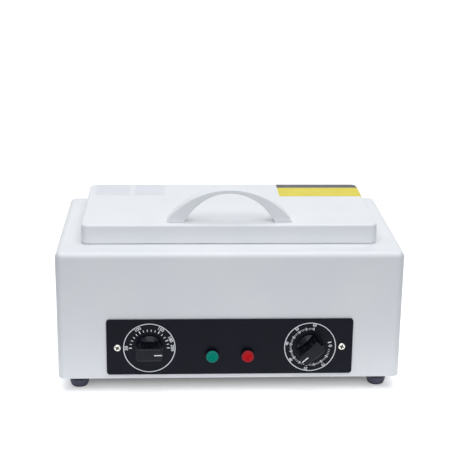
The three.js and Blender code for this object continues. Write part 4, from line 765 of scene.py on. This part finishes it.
# %% Lid skin
low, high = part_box("lid_shell")
LID_CORNER = 6.5 * MM
LID_EDGE = 2.2 * MM
LID_FOOT = TOP + 0.55 * MM
LID_SIZE = (high.x - low.x, high.y - low.y, high.z - LID_FOOT)
LID_Y = (low.y + high.y) / 2
LID_TOP = high.z
HANDLE_SCREW_HOLE = 2.35 * MM


def lid_box(name, wider=0, higher=0, softer=0, foot=LID_FOOT):
    """The lid's box, grown in its width and depth, in its height and in its two bends."""
    size = (LID_SIZE[0] + wider, LID_SIZE[1] + wider, LID_SIZE[2] + higher)
    bm = rounded_box(size, (0, LID_Y, foot), LID_CORNER + softer, top=LID_EDGE + softer)
    return mesh_object(bm, name)


lid = lid_box("lid_skin")
pan_room = lid_box("pan_room", -2 * SHEET, PAST - SHEET, -SHEET, LID_FOOT - PAST)
screw_holes = []
for node in ("handle_screw_left", "handle_screw_right"):
    at = middle(node)
    bm = drum(HANDLE_SCREW_HOLE, (at.x, at.y, LID_TOP - 2 * PAST), (at.x, at.y, LID_TOP + PAST))
    screw_holes.append(mesh_object(bm, "screw_hole"))
carve(lid, pan_room, *screw_holes)
hand_over(lid, white_paint, "lid", "white_paint", "lid_shell", crease=28)

# %% [markdown]
# The handle is a flat bar bent to a low arch and painted like the lid. Seen from the front
# it is the space between two arches, each a part of an ellipse that ends on the lid. The two
# lines of edges are bridged to a strip of faces and the strip is extruded to its depth,
# which keeps the faces square to the arch where a Boolean of two discs would leave slivers.

# %% Handle
low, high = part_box("lid_handle")
HANDLE_SPAN = high.x - low.x
HANDLE_HEIGHT = high.z - low.z
# For each arch: half its span, its height, and how far its centre lies below the lid
OUTER_ARCH = (HANDLE_SPAN / 2, HANDLE_HEIGHT, 34.0 * MM)
INNER_ARCH = (44.8 * MM, HANDLE_HEIGHT - 3.7 * MM, 33.0 * MM)
ARCH_STEPS = 96
HANDLE_EDGE = 0.9 * MM
HANDLE_EDGE_STEPS = 5
SHARPER_THAN = math.radians(45)


def arch_line(bm, half_span, height, drop):
    """The edges of one arch on the handle's front."""
    start = math.asin(drop / (height + drop))
    reach = half_span / math.cos(start)
    line = []
    for index in range(ARCH_STEPS + 1):
        angle = start + (math.pi - 2 * start) * index / ARCH_STEPS
        rise = (height + drop) * math.sin(angle) - drop
        line.append(bm.verts.new((reach * math.cos(angle), low.y, low.z + rise)))
    return [bm.edges.new(pair) for pair in zip(line, line[1:])]


bm = bmesh.new()
outline = arch_line(bm, *OUTER_ARCH) + arch_line(bm, *INNER_ARCH)
front_face = bmesh.ops.bridge_loops(bm, edges=outline)["faces"]
grown = bmesh.ops.extrude_face_region(bm, geom=front_face, use_keep_orig=True)["geom"]
back_verts = [item for item in grown if isinstance(item, bmesh.types.BMVert)]
bmesh.ops.translate(bm, vec=(0, high.y - low.y, 0), verts=back_verts)
handle = mesh_object(bm, "arched_handle")
bevel = handle.modifiers.new("edges", "BEVEL")
bevel.width = HANDLE_EDGE
bevel.segments = HANDLE_EDGE_STEPS
bevel.limit_method = "ANGLE"
bevel.angle_limit = SHARPER_THAN
bevel.use_clamp_overlap = True
hand_over(applied(handle), white_paint, "lid", "white_paint", "lid_handle", crease=50)

# %% [markdown]
# ## The knobs
# A knob is a low skirt that slopes up to a flat top, with a grip bar standing across it. A
# bevelled cylinder would have the same round at every edge, so the skirt is spun round its
# axis from a profile. All turned forms are shaped along Z and stood on the panel afterwards.

# %% Helpers for turned forms
def turned(profile, steps, closed):
    """Spins a line of (radius, height) points a full turn round Z."""
    bm = bmesh.new()
    line = [bm.verts.new((radius, 0, height)) for radius, height in profile]
    following = line[1:] + line[:1] if closed else line[1:]
    edges = [bm.edges.new(pair) for pair in zip(line, following)]
    bmesh.ops.spin(
        bm, geom=line + edges, cent=(0, 0, 0), axis=(0, 0, 1), angle=2 * math.pi,
        steps=steps, use_merge=True,
    )
    return bm


def spun(profile, steps=96):
    """A closed solid from a profile that starts and ends on Z."""
    bm = turned(profile, steps, closed=False)
    bmesh.ops.remove_doubles(bm, verts=bm.verts, dist=LEVEL)
    return bm


def hoop(profile, steps=72):
    """A closed ring from a profile that ends where it starts, away from Z."""
    return turned(profile, steps, closed=True)


def rounded(corner, radius, start, end, steps):
    """Points of an arc round corner, from the start angle to the end angle."""
    x, y = corner
    angles = [start + (end - start) * i / steps for i in range(steps + 1)]
    return [(x + radius * math.cos(angle), y + radius * math.sin(angle)) for angle in angles]


def to_front(node, y, turn=0.0):
    """Stands a form on a solid's axis at y with its top to the front, turned clockwise."""
    axis = middle(node)
    return Matrix.Translation((axis.x, y, axis.z)) @ Matrix.Rotation(turn, 4, "Y") @ TO_FRONT


def placed(bm, name, place):
    """An object from a form that is moved to its place first."""
    bmesh.ops.transform(bm, matrix=place, verts=bm.verts)
    return mesh_object(bm, name)


print("helpers for turned forms ready")

# %% [markdown]
# The slope of the skirt is a straight line between two small rounds, and both rounds meet it
# at the angle at which it leans. The bar starts as a rounded box. Its vertices are then
# widened by their height above the foot, and those past the skirt's edge are drawn in, which
# a scaling of whole faces couldn't do.

# %% Forms of the knobs
KNOB_RADIUS = 13.6 * MM
KNOB_FOOT = 0.3 * MM
SKIRT = 5.0 * MM
SKIRT_WALL = 1.4 * MM
SKIRT_TOP = 9.2 * MM
SKIRT_SOFT = 0.6 * MM
GRIP = (27.0 * MM, 12.0 * MM)
GRIP_CORNER = 3.2 * MM
GRIP_EDGE = 1.1 * MM
GRIP_FOOT = (0.5 * MM, 20.0 * MM)
GRIP_TAPER = 0.5 * MM
GRIP_INSET = 0.1 * MM


def knob_skirt():
    """A low drum with a wide slope round it, soft where the slope starts and ends."""
    outer = (KNOB_RADIUS - SKIRT_SOFT, SKIRT_WALL)
    inner = (SKIRT_TOP, SKIRT - SKIRT_SOFT)
    lean = math.atan2(outer[0] - inner[0], inner[1] - outer[1])
    profile = [(0, 0), (KNOB_RADIUS - KNOB_FOOT, 0), (KNOB_RADIUS, KNOB_FOOT)]
    profile += rounded(outer, SKIRT_SOFT, 0, lean, 4)
    profile += rounded(inner, SKIRT_SOFT, lean, math.pi / 2, 4)
    profile += [(0, SKIRT)]
    return spun(profile)


def knob_grip(height):
    """The bar across the skirt, widest at its foot, with its ends kept on the skirt's round."""
    foot, foot_width = GRIP_FOOT
    bm = rounded_box((*GRIP, height - foot), (0, 0, foot), GRIP_CORNER, top=GRIP_EDGE, steps=8)
    for vert in bm.verts:
        share = (vert.co.z - foot) / (height - foot)
        vert.co.x *= 1 - share * GRIP_TAPER / (GRIP[0] / 2)
        vert.co.y *= 1 + (1 - share) * (foot_width / GRIP[1] - 1)
        reach = math.hypot(vert.co.x, vert.co.y)
        limit = KNOB_RADIUS - GRIP_INSET - share * GRIP_TAPER
        if reach > limit:
            vert.co.x *= limit / reach
            vert.co.y *= limit / reach
    return bm


print("knob forms ready")

# %% [markdown]
# Each knob is one moulding, so skirt and bar are joined to one solid. The white mark is a
# thin inlay on the bar's face, near the end towards +X that points at the dial. Knob and
# mark ride on the dial body that their joint turns.

# %% Thermostat and timer knobs
KNOB_TURN = {"thermostat": 0.0, "timer": math.radians(138.0)}
MARK = (7.6 * MM, 1.1 * MM)
MARK_INSET = 0.4 * MM
PRINT_LIFT = 0.05 * MM

for name, turn in KNOB_TURN.items():
    low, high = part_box(name + "_knob")
    place = to_front(name + "_knob", high.y, turn)
    height = high.y - low.y

    body = mesh_object(knob_skirt(), name + "_knob_body")
    body.data.transform(place)
    grip = mesh_object(knob_grip(height - PRINT_LIFT), "grip")
    grip.data.transform(place)
    carve(body, grip, operation="UNION")
    hand_over(body, knob_black, name + "_dial", "black_plastic", name + "_knob", crease=35)

    mark_x = GRIP[0] / 2 - GRIP_TAPER - MARK_INSET - MARK[0] / 2
    bm = block((*MARK, 2 * PRINT_LIFT), (mark_x, 0, height - PRINT_LIFT))
    hand_over(placed(bm, name + "_mark", place), ink_white, name + "_dial", "white_paint")

# %% [markdown]
# ## Pilot lamps
# A lamp is a clear cap in a black ring. The cap has a soft edge, a slightly crowned face and
# a bore behind, where the glow lamp sits. All of these are round, so one profile holds them.

# %% Lamp cap
PANEL_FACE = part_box("control_panel")[0].y
LENS_RADIUS = 6.0 * MM
LENS_REACH = 7.2 * MM
LENS_EDGE = 1.2 * MM
LENS_CROWN = 0.35 * MM
LENS_BORE = (5.0 * MM, 4.0 * MM)


def lamp_cap():
    """A cap with a soft edge and a slightly crowned face."""
    bore, floor = LENS_BORE
    flat = LENS_RADIUS - LENS_EDGE
    profile = [(0, floor), (bore, floor), (bore, 0), (LENS_RADIUS, 0)]
    profile += rounded((flat, LENS_REACH - LENS_CROWN - LENS_EDGE), LENS_EDGE, 0, math.pi / 2, 8)
    profile += [
        (flat * share, LENS_REACH - LENS_CROWN * share * share) for share in (0.75, 0.5, 0.25, 0)
    ]
    return spun(profile, 72)


print("lamp cap reaches", LENS_REACH / MM, "mm")

# %% [markdown]
# Shallow slanting grooves break up the light in the face of a cap. They are pressed in by a
# row of thin bars. The black ring round the cap, its bezel, is spun from four points. Its
# height also gives the dark crescent above the cap, so it is partly a painted shade for the
# cap's shaded upper side.

# %% Lamp lenses
GROOVE_WIDTH, GROOVE_DEPTH, GROOVE_PITCH = 0.5 * MM, 0.55 * MM, 1.35 * MM
GROOVE_TURN = math.radians(35)
GROOVE_COUNT = 7
# Partly painted shade: the ring is tall enough to darken the cap's upper side.
BEZEL_AND_SHADE_HEIGHT = 4.6 * MM


def groove_bars():
    """Bars that press the grooves into the face."""
    for index in range(GROOVE_COUNT):
        aside = (index - (GROOVE_COUNT - 1) / 2) * GROOVE_PITCH
        bm = block((3 * LENS_RADIUS, GROOVE_WIDTH, 2 * GROOVE_DEPTH), (0, aside, LENS_REACH))
        turn_flat(bm, GROOVE_TURN, bm.verts)
        yield bm


for colour, finish in (("green", lamp_green), ("red", lamp_red)):
    node = "lamp_" + colour + "_lens"
    low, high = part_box(node)
    place = to_front(node, high.y)
    cap = placed(lamp_cap(), "lamp_cap_" + colour, place)
    carve(cap, *[placed(bm, "groove", place) for bm in groove_bars()])
    hand_over(cap, finish, "housing", colour + "_lens", node, crease=40)

    outer = (high.x - low.x) / 2
    profile = [(LENS_RADIUS, 0), (outer, 0), (outer, BEZEL_AND_SHADE_HEIGHT), (LENS_RADIUS, BEZEL_AND_SHADE_HEIGHT)]
    bezel_and_shade = placed(hoop(profile), "lamp_bezel_and_shade_" + colour, place)
    hand_over(bezel_and_shade, knob_black, "housing", "black_plastic", crease=40)

# %% [markdown]
# ## Screws of the panel
# A pan head has a soft rim and a cross recess that tapers to its floor. The head and its
# shank are spun together, and the recess is cut with two crossed bars. Its floor is painted
# shade: a second, lower pair of bars in a dark finish stands for the shade deep in the recess.

# %% Forms of the screws
CROSS = (6.2 * MM, 1.7 * MM)
CROSS_DEPTH = 1.7 * MM
CROSS_TAPER = (0.55, 0.8)
HEAD_SOFT = 0.55
SHANK = (1.6 * MM, 8.0 * MM)


def cross_bars(length, width, start, end, taper=(1, 1)):
    """Two crossed bars from the height start to end, narrower at start by the taper."""
    bars = []
    for turn in (0.0, math.pi / 2):
        bm = block((length, width, end - start), (0, 0, (start + end) / 2))
        for vert in bm.verts:
            if vert.co.z < (start + end) / 2:
                vert.co.x *= taper[0]
                vert.co.y *= taper[1]
        turn_flat(bm, turn, bm.verts)
        bars.append(mesh_object(bm, "bar"))
    return bars


def pan_screw(name, radius, height):
    """A pan head standing on z = 0 with a cross recess, and its shank below."""
    shank, length = SHANK
    soft = height * HEAD_SOFT
    profile = [(0, -length), (shank, -length), (shank, 0), (radius, 0)]
    profile += rounded((radius - soft, height - soft), soft, 0, math.pi / 2, 8)
    profile += [(0, height)]
    head = mesh_object(spun(profile, 48), name)
    return carve(head, *cross_bars(*CROSS, height - CROSS_DEPTH, height + PAST, CROSS_TAPER))


print("screw forms ready")

# %% [markdown]
# The two screws were driven in by hand, so their recesses stand at different angles.

# %% Panel screws
SCREW_TURN = {"left": 0.5, "right": 0.2}
FLOOR_CROSS = (CROSS[0] * 0.96, CROSS[1] * 0.98)
FLOOR_DEPTH = 0.8 * MM
# The dark finish of the recess floor is a painted shade.
recess_painted_shade = moulded("recess_painted_shade", tone(16, 16, 18), tone(26, 26, 28), 0.6)

for side, turn in SCREW_TURN.items():
    node = "panel_screw_" + side
    low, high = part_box(node)
    place = to_front(node, PANEL_FACE, turn)
    height = PANEL_FACE - low.y
    head = pan_screw("panel_screw_head_" + side, (high.x - low.x) / 2, height)
    head.data.transform(place)
    hand_over(head, screw_metal, "housing", "zinc_plated_steel", node, crease=35)

    # A lower dark piece in the recess, as painted shade.
    first, second = cross_bars(*FLOOR_CROSS, height - CROSS_DEPTH, height - FLOOR_DEPTH)
    recess_shade_piece = carve(first, second, operation="UNION")
    recess_shade_piece.name = "screw_recess_shade_" + side
    recess_shade_piece.data.transform(place)
    hand_over(recess_shade_piece, recess_painted_shade, "housing", "zinc_plated_steel")

# %% [markdown]
# ## Feet
# A foot is a rubber bowl with a screw up its middle. Its belly is a quarter of an ellipse,
# its top rim is soft, and a wide recess from below hides the head of the screw. A closed
# profile holds all of this, so one spin makes the foot and nothing has to be cut.

# %% Rubber feet
FOOT_TIP = 7.0 * MM
FOOT_BOWL = 10.5 * MM
FOOT_EDGE = 0.6 * MM
FOOT_RECESS = (5.0 * MM, 9.0 * MM)
FOOT_BORE = 2.2 * MM
FOOT_STEPS = 14

for place in FEET:
    low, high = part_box("foot_" + place)
    radius = (high.x - low.x) / 2
    height = high.z
    profile = [(FOOT_BORE, height), (FOOT_BORE, FOOT_RECESS[1]), FOOT_RECESS, (FOOT_RECESS[0], 0)]
    for step in range(FOOT_STEPS + 1):
        angle = math.pi / 2 * (1 - step / FOOT_STEPS)
        belly = FOOT_TIP + (radius - FOOT_TIP) * math.cos(angle)
        profile.append((belly, FOOT_BOWL * (1 - math.sin(angle))))
    profile += rounded((radius - FOOT_EDGE, height - FOOT_EDGE), FOOT_EDGE, 0, math.pi / 2, 4)
    at = Matrix.Translation(((low.x + high.x) / 2, (low.y + high.y) / 2, 0))
    foot = placed(hoop(profile), "rubber_foot_" + place, at)
    hand_over(foot, foot_rubber, "housing", "foot_rubber", "foot_" + place, crease=40)

# %% [markdown]
# ## The printed dials
# The print is a thin layer of white ink on the panel: a ring round each knob, ticks, and
# plain numbers whose tops point outwards. A picture on the panel would blur close by, so each
# dial is one mesh, built flat with X to the right and Y up and stood on the panel at the end.

# %% Helpers for the print
RING_RADIUS = 25.7 * MM
RING_LINE = 0.8 * MM
INK = 0.05 * MM
# How much of the ink lies in the panel, how much wider its digits are, and their share of a
# font's size
INK_SUNK = 0.2
BOLDER = 0.1 * MM
DIGIT_SHARE = 0.72


def ring():
    """A flat ring, as thick as the ink."""
    inner = RING_RADIUS - RING_LINE
    return hoop([(inner, 0), (RING_RADIUS, 0), (RING_RADIUS, INK), (inner, INK)], 128)


def tick(bm, degrees, start, length, width):
    """A small bar along the radius at the given angle, with its measures in millimetres."""
    made = bmesh.ops.create_cube(bm, size=1)["verts"]
    bmesh.ops.scale(bm, vec=(length * MM, width * MM, INK), verts=made)
    bmesh.ops.translate(bm, vec=((start + length / 2) * MM, 0, INK / 2), verts=made)
    turn_flat(bm, math.radians(degrees), made)


def number(bm, text, degrees, radius, height):
    """Digits of a height, centred at an angle and a radius, with their tops outwards."""
    curve = bpy.data.curves.new("number", "FONT")
    curve.body = text
    curve.size = height * MM / DIGIT_SHARE
    curve.align_x = curve.align_y = "CENTER"
    curve.extrude = INK / 2
    curve.offset = BOLDER
    curve.resolution_u = 4
    carrier = bpy.data.objects.new("number", curve)
    scene.collection.objects.link(carrier)
    mesh = worked_out(carrier)
    angle = math.radians(degrees)
    at = (radius * MM * math.cos(angle), radius * MM * math.sin(angle), INK / 2)
    mesh.transform(Matrix.Translation(at) @ Matrix.Rotation(angle - math.pi / 2, 4, "Z"))
    bm.from_mesh(mesh)
    bpy.data.meshes.remove(mesh)
    bpy.data.objects.remove(carrier)
    bpy.data.curves.remove(curve)


def on_panel(bm, name, node):
    """Stands a flat print on the panel's face, round the axis of a solid."""
    flat_print = placed(bm, name, to_front(node, PANEL_FACE + INK * INK_SUNK))
    return hand_over(flat_print, ink_white, "housing", "white_paint")


print("print helpers ready")

# %% [markdown]
# The thermostat's scale runs from 50 to 200 degrees over half a turn, from the left over the
# top to the right. It has a tick for every ten degrees, and a longer one where a number
# stands.

# %% Thermostat dial
LOWEST, HIGHEST, STEP = 50, 200, 10
DEGREES_OF_TURN = 180.0
NUMBERED = (50, 100, 150, 180, 200)
# Where a tick starts, its length and its width, and a number's radius and height, all in mm
LONG_TICK, SHORT_TICK = (17.2, 3.0, 1.0), (17.4, 2.2, 0.8)
NUMBER_PLACE = (22.6, 3.3)

bm = ring()
for value in range(LOWEST, HIGHEST + STEP, STEP):
    degrees = DEGREES_OF_TURN * (HIGHEST - value) / (HIGHEST - LOWEST)
    if value in NUMBERED:
        tick(bm, degrees, *LONG_TICK)
        number(bm, str(value), degrees, *NUMBER_PLACE)
    else:
        tick(bm, degrees, *SHORT_TICK)
on_panel(bm, "print_thermostat_scale", "thermostat_shaft")

# %% [markdown]
# A clockwork timer is wound past ten before it is set back, so its dial leaves a wide gap
# between 0 and 10 with a few loose ticks in it. From the fifth minute on, a minute is 4.52
# degrees of turn, and the scale runs clockwise to 60.

# %% Timer dial
TEN_AT = -54.0
MINUTE = 4.52
FIRST_MINUTE, LAST_MINUTE = 5, 60
ZERO_TICK = (14, 18.0, 3.6, 1.1)
ZERO_PLACE = (3, 20.0, 3.4)
LOOSE_TICKS = (-9, -15, -20.5, -26)
FIVE_TICK, MINUTE_TICK = (17.8, 3.0, 1.0), (18.4, 1.8, 0.45)
TEN_PLACE = (23.2, 2.7)

bm = ring()
tick(bm, *ZERO_TICK)
number(bm, "0", *ZERO_PLACE)
for degrees in LOOSE_TICKS:
    tick(bm, degrees, *MINUTE_TICK)
for minute in range(FIRST_MINUTE, LAST_MINUTE + 1):
    degrees = TEN_AT - MINUTE * (minute - 10)
    tick(bm, degrees, *(MINUTE_TICK if minute % 5 else FIVE_TICK))
    if minute % 10 == 0:
        number(bm, str(minute), degrees, *TEN_PLACE)
on_panel(bm, "print_timer_scale", "timer_shaft")

# %% [markdown]
# ## Plates on the lid
# Four thin plates lie on the lid's top: a yellow one with a grey band along its back, and two
# pale ones. The yellow one runs to the back right corner and follows the bend there, which a
# flat plane can't do, so each plate is cut out of a skin one plate's thickness over the lid.

# %% Plates
PLATE = 0.15 * MM
GAP = 0.01 * MM
WINDOW_HEIGHT, WINDOW_LIFT = 4.0 * MM, 0.6 * MM
# The west, east, south and north sides of each plate, in mm
YELLOW_SIDES = (57.3, 150, 40.9, 75.0)
BAND_SIDES = (57.3, 150, 75.1, 95)
OUTER_SIDES = (-138.7, -102.3, 47.2, 87.0)
INNER_SIDES = (-96.8, -64.7, 46.5, 86.7)
yellow_card = moulded("yellow_plate", tone(230, 212, 60), tone(238, 221, 76), 0.5, 900, 0.00002)
band_grey = moulded("band_grey", tone(70, 70, 76), tone(84, 84, 90), 0.5, 900, 0.00002)
pale_card = moulded("pale_plate", tone(232, 231, 236), tone(236, 234, 239), 0.5, 900, 0.00002)


def plate(name, finish, west, east, south, north):
    """A plate between four sides, laid over the lid's top and its bend."""
    skin = lid_box(name, 2 * PLATE, PLATE, PLATE)
    under = lid_box("under", GAP, GAP / 2)
    window = mesh_object(block(
        ((east - west) * MM, (north - south) * MM, WINDOW_HEIGHT),
        ((east + west) / 2 * MM, (north + south) / 2 * MM, LID_TOP + WINDOW_LIFT),
    ), "window")
    carve(skin, window, operation="INTERSECT")
    carve(skin, under)
    return hand_over(skin, finish, "lid", "white_paint")


plate("plate_yellow", yellow_card, *YELLOW_SIDES)
plate("plate_band", band_grey, *BAND_SIDES)
plate("plate_pale_outer", pale_card, *OUTER_SIDES)
plate("plate_pale_inner", pale_card, *INNER_SIDES)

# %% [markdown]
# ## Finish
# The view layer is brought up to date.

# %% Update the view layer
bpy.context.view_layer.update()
